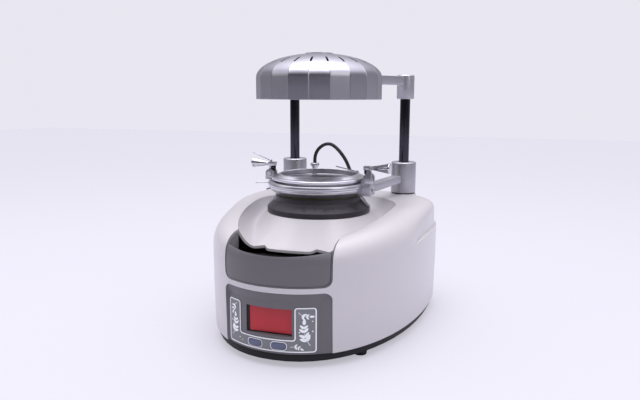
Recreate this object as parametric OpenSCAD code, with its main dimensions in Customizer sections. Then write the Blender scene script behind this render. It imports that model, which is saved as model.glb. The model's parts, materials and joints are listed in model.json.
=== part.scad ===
// Dental vacuum former: a heated sheet clamped in a sliding carriage is drawn over a model on a
// perforated table. Millimetres, +Z up, front towards -Y, origin at the middle of the footprint.
// Inside the modules, X and Y are measured from the forming axis, the centre of the table.

/* [Housing] */
// Width of the housing at its widest
housing_w = 297; // [280:1:320]
// Reach of the housing in front of the forming axis
front_reach = 178; // [172:1:195]
// Reach of the housing behind the forming axis
back_reach = 200; // [190:1:220]
// Distance of the widest line behind the forming axis
waist_y = 88; // [70:1:95]
// Squareness of the front plan outline
front_power = 2.15; // [2:0.05:2.4]
// Squareness of the rear plan outline
rear_power = 2.4; // [2.2:0.1:3.4]
// Underside of the moulded housing above the worktop
skirt_z = 17; // [15:1:20]
// Height at which the side wall starts to round over
shoulder_z = 118; // [110:1:122]
// Height of the rear deck
deck_z = 160; // [158:0.5:164]
// Drop of the rim from the rear deck to the foremost point
rim_drop = 20; // [14:1:24]
// Wall of the moulding
wall = 3; // [2.5:0.1:3.4]
// Depth of the step along the rear of the side wall
step_depth = 3.4; // [1.5:0.1:4]
// Height of the sloping face of that step
step_h = 7; // [4:0.5:9]

/* [Gully] */
// Half width of the gully's outer edge
gully_w = 100; // [96:1:104]
// Distance behind the forming axis of the gully's widest line
gully_y = 30; // [20:1:40]
// Reach of the gully's outer edge in front of its widest line
gully_front = 196; // [190:1:200]
// Reach of the gully's outer edge behind its widest line
gully_back = 85; // [80:1:90]
// Depth of the gully at the sides and back
gully_depth = 18; // [12:1:20]
// Depth of the gully at the front lip
lip_depth = 11; // [8:1:13]

/* [Front] */
// Half width of the front cut-out
cutout_hw = 66.5; // [62:0.5:68]
// Height of the cut-out's lower edge
cutout_z = 96; // [92:1:100]
// Corner radius of the cut-out and the fascia
front_corner_r = 9; // [6:1:12]
// Reach of the cone's front lip from the forming axis
lip_reach = 152; // [148:1:156]
// Radius of that lip in plan
lip_r = 82; // [78:1:90]
// Wall of the pocket liner
liner_t = 2; // [1.6:0.1:2.4]
// Top edge of the drawer front
drawer_top_z = 136; // [130:1:138]
// Height of the fascia's top edge
fascia_top_z = 90; // [86:1:91]
// Recess of the fascia behind the housing surface
fascia_recess = 4; // [3:0.5:5]
// Width of the display lens
lens_w = 53; // [48:1:56]
// Height of the display lens
lens_h = 31; // [26:1:33]
// Height of the middle of the lens
lens_z = 55; // [52:1:57]
// Sideways place of the middle of the lens
lens_x = -3; // [-6:1:2]
// Length of a button
button_w = 17; // [13:1:19]
// Height of a button
button_h = 7.5; // [6:0.5:9]
// Travel of a button
button_travel = 1; // [0.6:0.1:1.4]

/* [Base] */
// Radius of a rubber foot
foot_r = 9; // [7:0.5:11]
// Thickness of the base plate
base_t = 4; // [3:0.5:5]
// Inset of the base plate from the housing wall
base_inset = 5; // [4:0.5:8]

/* [Forming table] */
// Radius of the table flange
table_r = 70; // [68:0.5:73]
// Height of the flange edge
table_flange_h = 7.5; // [6:0.5:9]
// Radius of the table neck
neck_r = 58.5; // [57:0.5:60]
// Height of the neck's top face
neck_z = 177; // [174:0.5:180]
// Thickness of the seal
seal_t = 2.3; // [1.5:0.1:3]
// Radius of the perforated platform
platform_r = 49.5; // [46:0.5:50]
// Height of the platform's top face
platform_z = 193; // [190:0.5:196]
// Radius of a suction hole in the platform
suction_hole_r = 1.8; // [1:0.1:2.4]

/* [Columns] */
// Distance of each column from the middle
column_x = 89.3; // [84:0.5:94]
// Distance of the columns behind the forming axis
column_y = 151; // [144:1:155]
// Diameter of a column
column_d = 15.2; // [14:0.2:16]
// Height of the column tops
column_top_z = 332; // [322:1:340]
// Height of the rubber bumper at a column's foot
bumper_h = 1.6; // [1:0.1:3]

/* [Carriage] */
// Radius of a hub
hub_r = 18.9; // [17:0.1:20]
// Height of a hub
hub_h = 47; // [40:1:48]
// Outer radius of the holder ring
holder_r = 68.8; // [67:0.2:70]
// Radius of the opening in both rings
opening_r = 51.4; // [51:0.1:52.5]
// Height of the holder ring's top face
holder_z = 195.5; // [194:0.5:197]
// Gap for the sheet between the two rings
sheet_gap = 2.5; // [1.5:0.1:3]
// Width of an arm beside its hub
arm_w = 15; // [12:0.5:17]
// Height of an arm
arm_h = 10; // [8:0.5:12]
// Outer radius of the clamp ring
clamp_r = 63.8; // [62:0.2:64.4]
// Thickness of the clamp ring at its outer edge
clamp_t = 2.8; // [2.2:0.1:3.4]

/* [Levers] */
// Turn of the clamps about the forming axis
clamp_turn = -4; // [-10:1:-1]
// Distance of a lever's pivot from the forming axis
pivot_r = 71.5; // [71.2:0.1:73]
// Height of a lever's pivot
pivot_z = 202; // [201:0.2:203]
// Diameter of a pivot pin
pivot_d = 4; // [3:0.1:5]
// Thickness of a lever
lever_t = 6; // [5:0.2:7]
// Radius of the rubber foot under a lever's head
nose_r = 2.9; // [2.2:0.1:2.9]
// Length of a conical handle
handle_l = 26; // [22:1:30]
// Diameter of a handle at its outer end
handle_d = 13.8; // [11:0.2:16]
// Tilt of a handle above the horizontal
handle_tilt = 1; // [-4:1:6]

/* [Heater] */
// Radius of the hood
hood_r = 83.5; // [80:0.5:86]
// Height of the hood's lower edge
hood_z = 304; // [302:1:312]
// Height of the hood's straight skirt
skirt_h = 28; // [22:1:30]
// Height of the hood above its skirt
crown_h = 32; // [26:1:34]
// Wall of the hood
hood_t = 2; // [1.6:0.1:2.6]
// Panels round the hood
panels = 20; // [12:4:24]
// Width of a vent slot
slot_w = 2.6; // [1.8:0.1:3.2]
// Radius of the cap on the heater column
cap_r = 13; // [11.5:0.1:15]
// Height of the cap
cap_h = 36; // [34:1:40]
// Height of the heater arm's section
heater_arm_h = 13; // [10:0.5:15]

/* [Cable] */
// Diameter of the cable
cable_d = 5.6; // [4:0.1:6]

/* [Hidden] */
$fn = 48;
eps = 0.01;
// running clearance on a radius
running = 0.05;
// clearance between faces of different bodies
gap = 0.3;
axis_y = (front_reach - back_reach) / 2;
half_w = housing_w / 2;
plan_steps = 64;
table_z = deck_z - 6;
seat_r = table_r + 2;
duct_r = 60;
drop_slope = rim_drop / gully_front;
lip_clear_z = deck_z - 46;
pocket_back_y = -104;
column_pos = [column_x, column_y];

pearl = [0.80, 0.79, 0.80];
dark_grey = [0.32, 0.32, 0.34];
label_grey = [0.48, 0.49, 0.50];
satin = [0.60, 0.60, 0.63];
chrome = [0.75, 0.76, 0.78];
black = [0.08, 0.08, 0.09];

module on_axis() {
    translate([0, axis_y, 0]) children();
}

// Plan outline of the housing: an ellipse in front of the widest line, squarer behind it

function signed_power(v, p) = sign(v) * pow(abs(v), p);

function plan(a, inset = 0) =
    let (front = sin(a) < 0,
         p = 2 / (front ? front_power : rear_power),
         reach = (front ? front_reach + waist_y : back_reach - waist_y) - inset)
    [(half_w - inset) * signed_power(cos(a), p), waist_y + reach * signed_power(sin(a), p)];

// Plan angle of point i
function plan_angle(i) = 360 * i / plan_steps;

// Distance from the forming axis to the gully's outer edge, in the direction of the unit vector u
function gully_edge(u) =
    let (behind = u[1] * gully_w > gully_y * abs(u[0]),
         reach = behind ? gully_back : gully_front,
         qa = pow(u[0] / gully_w, 2) + pow(u[1] / reach, 2),
         qb = -2 * gully_y * u[1] / (reach * reach),
         qc = pow(gully_y / reach, 2) - 1)
    (-qb + sqrt(qb * qb - 4 * qa * qc)) / (2 * qa);

function between(v, low, high) = max(0, min(1, (v - low) / (high - low)));
function smooth(t) = t * t * (3 - 2 * t);
function mix(a, b, t) = a + (b - a) * t;

// Section of the housing's outer skin at plan angle a: [distance from the forming axis, height]
function skin(a) =
    let (p = plan(a),
         edge = norm(p),
         u = p / edge,
         crest = gully_edge(u),
         crest_y = crest * u[1],
         crest_z = deck_z - drop_slope * max(0, gully_y - crest_y),
         run = min(22, 0.55 * (crest - seat_r)),
         fill = 0.84 + 0.16 * pow(max(0, -u[1]), 30),
         depth = fill * mix(lip_depth, gully_depth, between(crest_y, -150, gully_y)),
         step_z = shoulder_z + 8 * pow(between(p[1], -55, 40), 0.7),
         step_on = smooth(between(p[1], -54, 20)),
         top_in = edge - step_depth * step_on - 0.6,
         low_z = step_z + 2 + step_h * step_on,
         p_round = 2 / mix(2.3, 4.6, between(p[1], 0, 120)))
    concat(
        [[edge - 1.5, skirt_z], [edge, 70], [edge, step_z], [top_in, low_z]],
        [for (t = [18, 36, 52, 66, 78])
            [mix(crest, top_in, pow(cos(t), p_round)), mix(low_z, crest_z, pow(sin(t), p_round))]],
        [for (t = [0, 0.06, 0.2, 0.42, 0.7, 1])
            [crest - run * t, crest_z - depth * sin(90 * pow(t, 0.85))]],
        [for (t = [0.12, 0.5])
            [mix(crest - run, seat_r, t), mix(crest_z - depth, table_z, t * (0.75 + 0.25 * t))]],
        [[seat_r, table_z], [duct_r, table_z]]);

// The inner skin lies one wall inside chosen points of the outer one
inner_picks = [17, 16, 14, 12, 10, 8, 6, 4, 3, 1, 0];

function inward(s, j) =
    let (a = s[max(0, j - 1)], b = s[min(len(s) - 1, j + 1)], d = (b - a) / norm(b - a))
    j == 0 ? s[0] - [wall, 0] : s[j] + wall * [-d[1], d[0]];

function place(p, a) = let (u = plan(a) / norm(plan(a))) [p[0] * u[0], p[0] * u[1], p[1]];

module housing_shell() {
    angles = [for (i = [0:plan_steps - 1]) plan_angle(i)];
    sections = [for (a = angles)
        let (s = skin(a)) concat(s, [for (j = inner_picks) inward(s, j)])];
    m = len(sections[0]);
    polyhedron(
        points = [for (i = [0:plan_steps - 1]) for (p = sections[i]) place(p, angles[i])],
        faces = [for (i = [0:plan_steps - 1]) for (j = [0:m - 1])
            let (i2 = (i + 1) % plan_steps, j2 = (j + 1) % m,
                 a = i * m + j, b = i * m + j2, c = i2 * m + j2, d = i2 * m + j)
            for (f = [[a, b, c], [a, c, d]]) f],
        convexity = 6);
}

// Solid wedge of the housing's front, set inwards by inset, from which the front pieces are cut
module front_wedge(inset) {
    steps = 14;
    inner_r = 90;
    half_angle = 38;
    angles = [for (i = [0:steps]) -90 + half_angle * (2 * i / steps - 1)];
    sections = [for (a = angles)
        let (s = skin(a), n = 10)
        concat([[inner_r, skirt_z]], [for (j = [0:n - 1]) s[j] - [inset, 0]],
            [[inner_r, s[n - 1][1]]])];
    m = len(sections[0]);
    polyhedron(
        points = [for (i = [0:steps]) for (p = sections[i]) place(p, angles[i])],
        faces = concat(
            [for (i = [0:steps - 1]) for (j = [0:m - 1])
                let (j2 = (j + 1) % m, a = i * m + j, b = i * m + j2,
                     c = (i + 1) * m + j2, d = (i + 1) * m + j)
                for (f = [[a, b, c], [a, c, d]]) f],
            [[for (j = [m - 1:-1:0]) j], [for (j = [0:m - 1]) steps * m + j]]),
        convexity = 4);
}

// Rounded plate standing in the XZ plane from z0 upwards, pushed along Y
module front_outline(hw, z0, z1, r, y0, y1) {
    translate([0, y1, 0])
        rotate([90, 0, 0])
            linear_extrude(y1 - y0)
                rounded_rect(hw, z0, z1, r);
}

module rounded_rect(hw, z0, z1, r) {
    union() {
        translate([-hw, z0 + r]) square([2 * hw, z1 - z0 - 2 * r]);
        translate([-hw + r, z0]) square([2 * (hw - r), z1 - z0]);
        for (x = [-hw + r, hw - r])
            for (z = [z0 + r, z1 - r])
                translate([x, z]) circle(r);
    }
}

// Space that the drawer pocket takes from the housing, up to the cone's front lip
module pocket() {
    difference() {
        front_outline(cutout_hw, cutout_z, 220, front_corner_r, -front_reach - 20, -100);
        lip_cylinder(300, 0);
    }
}

// Plan of the cone's front lip, made larger by grow
module lip_cylinder(h, grow) {
    translate([0, lip_r - lip_reach, 0]) cylinder(h = h, r = lip_r + grow);
}

module main_housing() {
    color(pearl) on_axis() {
        difference() {
            union() {
                housing_shell();
                for (s = [-1, 1])
                    translate([s * column_x, column_y, deck_z - boss_h])
                        cylinder(h = boss_h, r = boss_r);
                translate([gland_pos[0], gland_pos[1], deck_z - pad_h])
                    cylinder(h = pad_h, r = gland_pad_r);
                translate([grommet_pos[0], grommet_pos[1], deck_z - pad_h])
                    cylinder(h = pad_h, r = grommet_pad_r);
            }
            pocket();
            front_outline(cutout_hw, skirt_z - 10, fascia_top_z, front_corner_r,
                -front_reach - 20, -120);
            for (s = [-1, 1])
                translate([s * column_x, column_y, 100])
                    cylinder(h = 100, r = spigot_r + running);
            translate([gland_pos[0], gland_pos[1], 100]) cylinder(h = 100, r = gland_shank_r);
            translate([grommet_pos[0], grommet_pos[1], 100]) cylinder(h = 100, r = grommet_r);
            rear_window(inlet_x, inlet_w, inlet_h, inlet_rim);
            rear_window(switch_x, switch_w, switch_h, switch_rim);
            for (i = [0:vent_count - 1])
                translate([vent_x - vent_w / 2, 100, vent_z + i * vent_pitch])
                    cube([vent_w, 200, vent_slot]);
        }
    }
}

boss_r = 20;
boss_h = 18;
pad_h = 6;
spigot_r = 5;
gland_pos = [-62, 172];
gland_pad_r = 11;
gland_shank_r = 5;
grommet_pos = [3, 172];
grommet_pad_r = 9;
grommet_r = 5.5;
inlet_x = -30;
inlet_w = 28;
inlet_h = 20;
switch_x = 6;
switch_w = 19.5;
switch_h = 13;
rear_z = 45;
vent_x = 50;
vent_w = 42;
vent_z = 34;
vent_slot = 3;
vent_pitch = 7;
vent_count = 6;

// Window in the rear wall with a shallow seat for the rim of the piece that fills it
module rear_window(x, w, h, rim) {
    translate([x - w / 2, 100, rear_z - h / 2]) cube([w, 200, h]);
    translate([x - w / 2 - rim, rear_y - flange_t, rear_z - h / 2 - rim])
        cube([w + 2 * rim, 20, h + 2 * rim]);
}

module pocket_liner() {
    color(dark_grey) on_axis()
        intersection() {
            front_wedge(0.6);
            difference() {
                front_outline(cutout_hw - 0.2, cutout_z + 0.2, 220, front_corner_r,
                    -front_reach - 20, pocket_back_y + liner_t);
                front_outline(cutout_hw - 0.2 - liner_t, cutout_z + 0.2 + liner_t, 240,
                    front_corner_r - liner_t, -front_reach - 30, pocket_back_y);
                under_lip();
            }
        }
}

// Room under the cone's lip, so that the liner stays below the moulding
module under_lip() {
    translate([0, 0, lip_clear_z]) lip_cylinder(100, gap);
}

// Base

module plan_shape(inset) {
    polygon([for (i = [0:plan_steps - 1]) plan(plan_angle(i), inset)]);
}

foot_pos = [[87, -104], [132, 82], [80, 172]];
foot_h = 8;
foot_seat = 1;
screw_pos = [[62, -118], [128, 30], [108, 158]];
plate_z = foot_h;

module at_sides(points) {
    for (p = points)
        for (s = [-1, 1])
            translate([s * p[0], p[1], 0]) children();
}

module base_plate() {
    color(black) on_axis() difference() {
        union() {
            translate([0, 0, plate_z]) linear_extrude(base_t) plan_shape(base_inset);
            translate([0, 0, plate_z]) linear_extrude(skirt_z - plate_z)
                difference() {
                    plan_shape(base_inset);
                    plan_shape(base_inset + wall);
                }
            translate([0, 0, plate_z]) linear_extrude(skirt_z - plate_z + 4)
                difference() {
                    plan_shape(wall + 2.3);
                    plan_shape(wall + 4.3);
                }
            at_sides(screw_pos) translate([0, 0, plate_z]) cylinder(h = 8, r = 5);
        }
        translate([-cutout_hw - 2, -front_reach, skirt_z])
            cube([2 * cutout_hw + 4, front_reach - 120, fascia_top_z]);
        at_sides(foot_pos) translate([0, 0, plate_z - 1]) cylinder(h = foot_seat + 1, r = foot_r);
        at_sides(screw_pos) {
            translate([0, 0, plate_z - 1]) cylinder(h = 3.5, r = 3.4);
            translate([0, 0, plate_z - 1]) cylinder(h = 20, r = 1.6);
        }
        for (i = [-3:3])
            translate([i * 9 - 2, 60, plate_z - 1]) cube([4, 44, base_t + 2]);
    }
}

module rubber_feet() {
    color(black) on_axis() at_sides(foot_pos) rotate_extrude()
        polygon([[0, 1.5], [foot_r - 4, 1.5], [foot_r - 4, 0], [foot_r - 1.2, 0],
            [foot_r, foot_h + foot_seat], [0, foot_h + foot_seat]]);
}

module screw(shank_r, shank_l, head_r, head_h) {
    difference() {
        union() {
            cylinder(h = shank_l, r = shank_r);
            translate([0, 0, -head_h]) cylinder(h = head_h, r = head_r);
        }
        translate([0, 0, -head_h - eps]) cylinder(h = head_h * 0.6, r = head_r * 0.5, $fn = 6);
    }
}

module base_screws() {
    color(chrome) on_axis() at_sides(screw_pos)
        translate([0, 0, plate_z + 2.5]) screw(1.6, 12, 3, 2);
}

// Control panel

strip_steps = 16;

// Stations from x0 to x1
function stations(x0, x1, steps) = [for (i = [0:steps]) mix(x0, x1, i / steps)];

// Strip of the plan that follows the front outline between two insets, through the stations xs
module strip_at(xs, inset_out, inset_in) {
    polygon(concat(
        [for (x = xs) front_point(x, inset_out)],
        [for (i = [len(xs) - 1:-1:0]) front_point(xs[i], inset_in)]));
}

module plan_strip(x0, x1, inset_out, inset_in) {
    strip_at(stations(x0, x1, strip_steps), inset_out, inset_in);
}

// Point of the front outline at a given x
function front_point(x, inset) =
    let (side = pow(abs(x) / (half_w - inset), front_power))
    [x, waist_y - (front_reach + waist_y - inset) * pow(1 - side, 1 / front_power)];

fascia_hw = cutout_hw - gap;
fascia_top = fascia_top_z - gap;
fascia_back = fascia_recess + 6;
bevel_left = 4;
bevel_right = 12;
bevel_top = 11;
flat_xs = stations(-fascia_hw + bevel_left, fascia_hw - bevel_right, 14);
label_t = 0.5;
label_left = -fascia_hw + bevel_left + 1;
label_right = fascia_hw - bevel_right - 4;
label_top = lens_z + 18;
label_low = skirt_z + 2.5;
label_col_left = lens_x - lens_w / 2 - 13;
label_col_right = lens_x + lens_w / 2 + 3;
label_strip_top = lens_z - lens_h / 2 - 5;
button_x = [lens_x - 19, lens_x + 11];
button_z = label_strip_top - 8;
board_y = -front_reach + 22;
key_t = 1.2;

module fascia_block() {
    xs = concat([-fascia_hw], flat_xs, [fascia_hw]);
    zs = [skirt_z, fascia_top - bevel_top, fascia_top];
    cols = len(xs);
    sections = [for (i = [0:cols - 1])
        let (edge = i == 0 || i == cols - 1, face = edge ? 0.8 : fascia_recess)
        [[max(face, edge ? 2.1 : 0), zs[0]], [face, zs[1]], [0.8, zs[2]],
         [fascia_back, zs[2]], [fascia_back, zs[0]]]];
    m = 5;
    polyhedron(
        points = [for (i = [0:cols - 1]) for (p = sections[i])
            let (q = front_point(xs[i], p[0])) [q[0], q[1], p[1]]],
        faces = concat(
            [for (i = [0:cols - 2]) for (j = [0:m - 1])
                let (j2 = (j + 1) % m, a = i * m + j, b = i * m + j2,
                     c = (i + 1) * m + j2, d = (i + 1) * m + j)
                for (f = [[a, b, c], [a, c, d]]) f],
            [[for (j = [m - 1:-1:0]) j], [for (j = [0:m - 1]) (cols - 1) * m + j]]),
        convexity = 4);
}

module stadium(w, h, y0, y1) {
    for (s = [-1, 1])
        translate([s * (w - h) / 2, y1, 0]) rotate([90, 0, 0]) cylinder(h = y1 - y0, r = h / 2);
    translate([-(w - h) / 2, y0, -h / 2]) cube([w - h, y1 - y0, h]);
}

module button_holes() {
    for (x = button_x)
        translate([x, 0, button_z])
            stadium(button_w + 2 * gap, button_h + 2 * gap, -front_reach - 5, board_y - 2);
}

module control_fascia() {
    color(dark_grey) on_axis() difference() {
        intersection() {
            fascia_block();
            front_outline(fascia_hw, 0, fascia_top, front_corner_r, -front_reach - 5, -120);
        }
        translate([lens_x - lens_w / 2, -front_reach - 5, lens_z - lens_h / 2])
            cube([lens_w, 40, lens_h]);
        button_holes();
    }
}

module label_outline() {
    difference() {
        translate([label_left, label_low])
            square([label_right - label_left, label_top - label_low]);
        translate([label_col_left, label_strip_top])
            square([label_col_right - label_col_left, label_top]);
    }
}

module panel_label() {
    color(label_grey) on_axis() difference() {
        intersection() {
            linear_extrude(fascia_top)
                strip_at(flat_xs, fascia_recess - label_t, fascia_recess);
            translate([0, -100, 0]) rotate([90, 0, 0]) linear_extrude(100) label_outline();
        }
        button_holes();
    }
}

lens_y = -front_reach + 10.5;
lens_t = 3;

module display_lens() {
    color([0.62, 0.16, 0.2]) on_axis()
        translate([lens_x - lens_w / 2, lens_y, lens_z - lens_h / 2]) cube([lens_w, lens_t, lens_h]);
}

module display_board() {
    w = lens_w + 22;
    h = lens_h + 30;
    color([0.1, 0.32, 0.16]) on_axis() {
        translate([lens_x - w / 2, board_y, lens_z - h / 2 - 4]) cube([w, 1.6, h]);
        translate([lens_x - lens_w / 2 + 1, lens_y + lens_t, lens_z - lens_h / 2 + 1])
            cube([lens_w - 2, board_y - lens_y - lens_t, lens_h - 2]);
        for (x = button_x)
            translate([x - 3, board_y - key_t, button_z - 3]) cube([6, key_t + eps, 6]);
    }
}

module button(x) {
    color([0.42, 0.45, 0.56]) on_axis() intersection() {
        linear_extrude(fascia_top)
            plan_strip(x - button_w, x + button_w, fascia_recess - 1.6, fascia_recess + 9);
        translate([x, 0, button_z])
            stadium(button_w, button_h, -front_reach - 5, board_y - key_t - button_travel - gap);
    }
}

module left_button() {
    button(button_x[0]);
}

module right_button() {
    button(button_x[1]);
}

board_x = [-44, 44];
board_y0 = -132;
board_y1 = -72;
board_z = 24;
standoff_in = 5;

module control_board() {
    color([0.1, 0.32, 0.16]) on_axis() {
        translate([board_x[0], board_y0, board_z])
            cube([board_x[1] - board_x[0], board_y1 - board_y0, 1.6]);
        translate([0, 0, board_z + 1.6]) {
            translate([-40, -124, 0]) cube([30, 26, 24]);
            translate([-8, -120, 0]) cube([19, 15, 15]);
            translate([16, -120, 0]) cube([19, 15, 15]);
            translate([31, -90, 0]) cylinder(h = 26, r = 8);
            translate([-38, -86, 0]) cube([40, 8, 10]);
            translate([6, -90, 0]) cube([14, 8, 3]);
        }
    }
}

module board_standoffs() {
    top = plate_z + base_t;
    color(chrome) on_axis()
        for (x = [board_x[0] + standoff_in, board_x[1] - standoff_in])
            for (y = [board_y0 + standoff_in, board_y1 - standoff_in])
                translate([x, y, top]) cylinder(h = board_z - top, r = 3);
}

// Drawer in the front cut-out

drawer_hw = cutout_hw - liner_t - 0.2 - gap;
drawer_low = cutout_z + liner_t + 0.2 + gap;
drawer_back_y = pocket_back_y - 3;
drawer_front_in = 8;
strip_hw = 80;
drawer_xs = stations(-strip_hw, strip_hw, strip_steps);
drawer_wall = 1.8;
tray_top_z = lip_clear_z - 2;

module drawer_front() {
    color(dark_grey) on_axis() intersection() {
        front_wedge(0.4);
        front_outline(drawer_hw, drawer_low, drawer_top_z + front_corner_r,
            front_corner_r - liner_t, -front_reach - 20, -120);
        linear_extrude(drawer_top_z) strip_at(drawer_xs, -2, drawer_front_in);
    }
}

module drawer_tray() {
    color([0.2, 0.2, 0.21]) on_axis() difference() {
        translate([0, 0, drawer_low])
            linear_extrude(tray_top_z - drawer_low)
                tray_plan(0);
        translate([0, 0, drawer_low + drawer_wall])
            linear_extrude(tray_top_z)
                tray_plan(drawer_wall);
    }
}

module tray_plan(inset) {
    hw = drawer_hw - front_corner_r + liner_t - inset;
    back = drawer_back_y - inset;
    intersection() {
        polygon(concat([for (x = drawer_xs) front_point(x, drawer_front_in + inset)],
            [[strip_hw, back], [-strip_hw, back]]));
        translate([-hw, -front_reach]) square([2 * hw, front_reach]);
    }
}

module drawer_guide() {
    x = 50;
    color(black) on_axis() {
        for (s = [-1, 1])
            translate([s * x - 4, drawer_back_y - 4, plate_z + base_t])
                cube([8, 10, cutout_z - plate_z - base_t + 0.2]);
        translate([-x - 4, drawer_back_y - 4, cutout_z - 5.8]) cube([2 * x + 8, 10, 6]);
    }
}

// Vacuum unit

motor_r = 52;
fan_z = 92;
fan_top = 122;
motor_low = 34;
armature_r = 24;
can_r = 40;
shaft_r = 4;
duct_in_r = 16;
duct_wall = 3;
bracket_z = fan_z - 6;

module vacuum_motor() {
    color([0.55, 0.56, 0.58]) on_axis() rotate_extrude() polygon([
        [duct_in_r, fan_top], [motor_r - 4, fan_top], [motor_r, fan_top - 4], [motor_r, fan_z],
        [can_r, fan_z - 4], [can_r, motor_low + 6], [can_r - 6, motor_low],
        [shaft_r + running, motor_low], [shaft_r + running, motor_low + 8],
        [can_r - 3, motor_low + 12], [can_r - 3, fan_z - 4], [shaft_r + running, fan_z - 2],
        [shaft_r + running, fan_z + 3], [motor_r - 2, fan_z + 3], [motor_r - 2, fan_top - 5],
        [motor_r - 5, fan_top - 2.5], [duct_in_r, fan_top - 2.5]]);
}

module motor_rotor() {
    color([0.65, 0.45, 0.25]) on_axis() {
        rotate_extrude() polygon([
            [0, motor_low + 1], [shaft_r, motor_low + 1], [shaft_r, motor_low + 16],
            [armature_r, motor_low + 18], [armature_r, fan_z - 16], [shaft_r, fan_z - 12],
            [shaft_r, fan_z + 6], [motor_r - 6, fan_z + 6], [motor_r - 6, fan_z + 7.5],
            [8, fan_z + 7.5], [8, fan_z + 18], [0, fan_z + 18]]);
        for (i = [0:6])
            rotate([0, 0, i * 360 / 7])
                translate([10, 0, fan_z + 7]) rotate([0, 0, 28]) cube([28, 1.5, 11]);
    }
}

module motor_bracket() {
    top = plate_z + base_t;
    color([0.6, 0.6, 0.62]) on_axis() {
        translate([0, 0, bracket_z - 5]) difference() {
            cylinder(h = 2.5, r = motor_r + 12);
            translate([0, 0, -1]) cylinder(h = 5, r = can_r + 3);
        }
        for (i = [0:2])
            rotate([0, 0, 90 + 120 * i])
                translate([motor_r + 4, -6, top]) cube([5, 12, bracket_z - 5 - top + eps]);
    }
}

module motor_mount() {
    color(black) on_axis() rotate_extrude() polygon([
        [can_r, bracket_z - 2.5], [motor_r + 3, bracket_z - 2.5], [motor_r + 3, fan_z + 4],
        [motor_r, fan_z + 4], [motor_r, fan_z], [can_r, fan_z - 4]]);
}

module suction_duct() {
    color(black) on_axis() rotate_extrude() polygon([
        [duct_in_r - duct_wall, fan_top - 2], [duct_in_r, fan_top - 2], [duct_in_r, fan_top],
        [duct_in_r + 5, fan_top], [duct_in_r + 5, fan_top + 3], [duct_in_r, fan_top + 3],
        [duct_in_r, table_z - 6], [duct_in_r + 4, table_z - 6], [duct_in_r + 4, table_z - 2],
        [duct_in_r - duct_wall, table_z - 2]]);
}

// Forming table

platform_t = 4;
platform_wall = 2.5;
seal_in = platform_r + 0.4;
chamber_r = 44;

flange_top = table_z + table_flange_h;

module table_body() {
    rotate_extrude() polygon([
        [duct_in_r - duct_wall, table_z - 2], [duct_r - 1, table_z - 2], [duct_r - 1, table_z],
        [table_r, table_z], [table_r, flange_top - 0.8], [table_r - 0.8, flange_top],
        [neck_r + 2, flange_top + 6], [neck_r, flange_top + 9], [neck_r, neck_z - 1],
        [neck_r - 1, neck_z], [chamber_r, neck_z], [chamber_r, table_z + 6],
        [duct_in_r - duct_wall, table_z + 2]]);
}

module table_base() {
    color(dark_grey) on_axis() table_body();
}

module table_seal() {
    color([0.2, 0.2, 0.1]) on_axis() rotate_extrude() polygon([
        [seal_in, neck_z], [neck_r - 0.8, neck_z], [neck_r - 0.4, neck_z + 0.8],
        [neck_r - 1.2, neck_z + seal_t], [seal_in, neck_z + seal_t]]);
}

module table_platform() {
    color([0.7, 0.7, 0.72]) on_axis() difference() {
        rotate_extrude() polygon([
            [0, platform_z - platform_t], [platform_r - platform_wall, platform_z - platform_t],
            [platform_r - platform_wall, neck_z], [platform_r, neck_z],
            [platform_r, platform_z - 1], [platform_r - 1, platform_z], [0, platform_z]]);
        for (ring = [0:3])
            for (i = [0:max(0, ring * 6 - 1)])
                rotate([0, 0, i * 60 / max(1, ring)])
                    translate([ring * 11, 0, platform_z - 10]) cylinder(h = 20, r = suction_hole_r);
    }
}

catch_w = 7;

// Two straps that lean from the flange's edge to the top of the neck
module table_catch() {
    color(chrome) on_axis() difference() {
        for (a = [5, 185])
            rotate([0, 0, a]) translate([0, catch_w / 2, 0]) rotate([90, 0, 0])
                linear_extrude(catch_w) polygon([
                    [table_r - 2.4, flange_top - 0.2], [table_r - 0.6, flange_top - 0.2],
                    [table_r + 0.2, flange_top + 0.9], [neck_r + 1.3, neck_z - 1.6],
                    [neck_r - 0.6, neck_z - 2.4]]);
        table_body();
    }
}

// Columns

nut_h = 7;
spigot_l = boss_h + nut_h + 6;

module column(s) {
    color(chrome) on_axis() translate([s * column_x, column_y, 0]) {
        translate([0, 0, deck_z - spigot_l]) cylinder(h = spigot_l + 1, r = spigot_r);
        translate([0, 0, deck_z]) rotate_extrude() polygon([
            [0, 0], [column_d / 2, 0], [column_d / 2, column_top_z - deck_z - 1],
            [column_d / 2 - 1, column_top_z - deck_z], [0, column_top_z - deck_z]]);
    }
}

module left_column() {
    column(-1);
}

module right_column() {
    column(1);
}

module at_columns() {
    for (s = [-1, 1]) translate([s * column_x, column_y, 0]) children();
}

module column_nuts() {
    color(chrome) on_axis() at_columns() translate([0, 0, deck_z - boss_h - nut_h])
        difference() {
            cylinder(h = nut_h, r = 9.8, $fn = 6);
            translate([0, 0, -1]) cylinder(h = nut_h + 2, r = spigot_r);
        }
}

module column_bumpers() {
    color(black) on_axis() at_columns() translate([0, 0, deck_z])
        difference() {
            cylinder(h = bumper_h, r = hub_r - 1);
            translate([0, 0, -1]) cylinder(h = bumper_h + 2, r = column_d / 2);
        }
}

// Cable behind the ring, and the sockets at the back

gland_h = 39.4;
gland_body_r = 4.6;
gland_nut_r = 7.3;
gland_nut_h = 4.4;
grommet_h = 3;
cable_r = cable_d / 2;
cable_points = [
    [gland_pos[0], gland_pos[1], deck_z + gland_h], [-62, 172, 206], [-60.5, 172, 214],
    [-56, 172, 222], [-49, 172, 228], [-41, 172, 231], [-33, 172, 230], [-25.5, 172, 225],
    [-19, 172, 218.5], [-13, 172, 211], [-8, 172, 203], [-4, 172, 194], [0, 172, 184],
    [2.5, 172, 173], [grommet_pos[0], grommet_pos[1], deck_z + grommet_h]];

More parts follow.
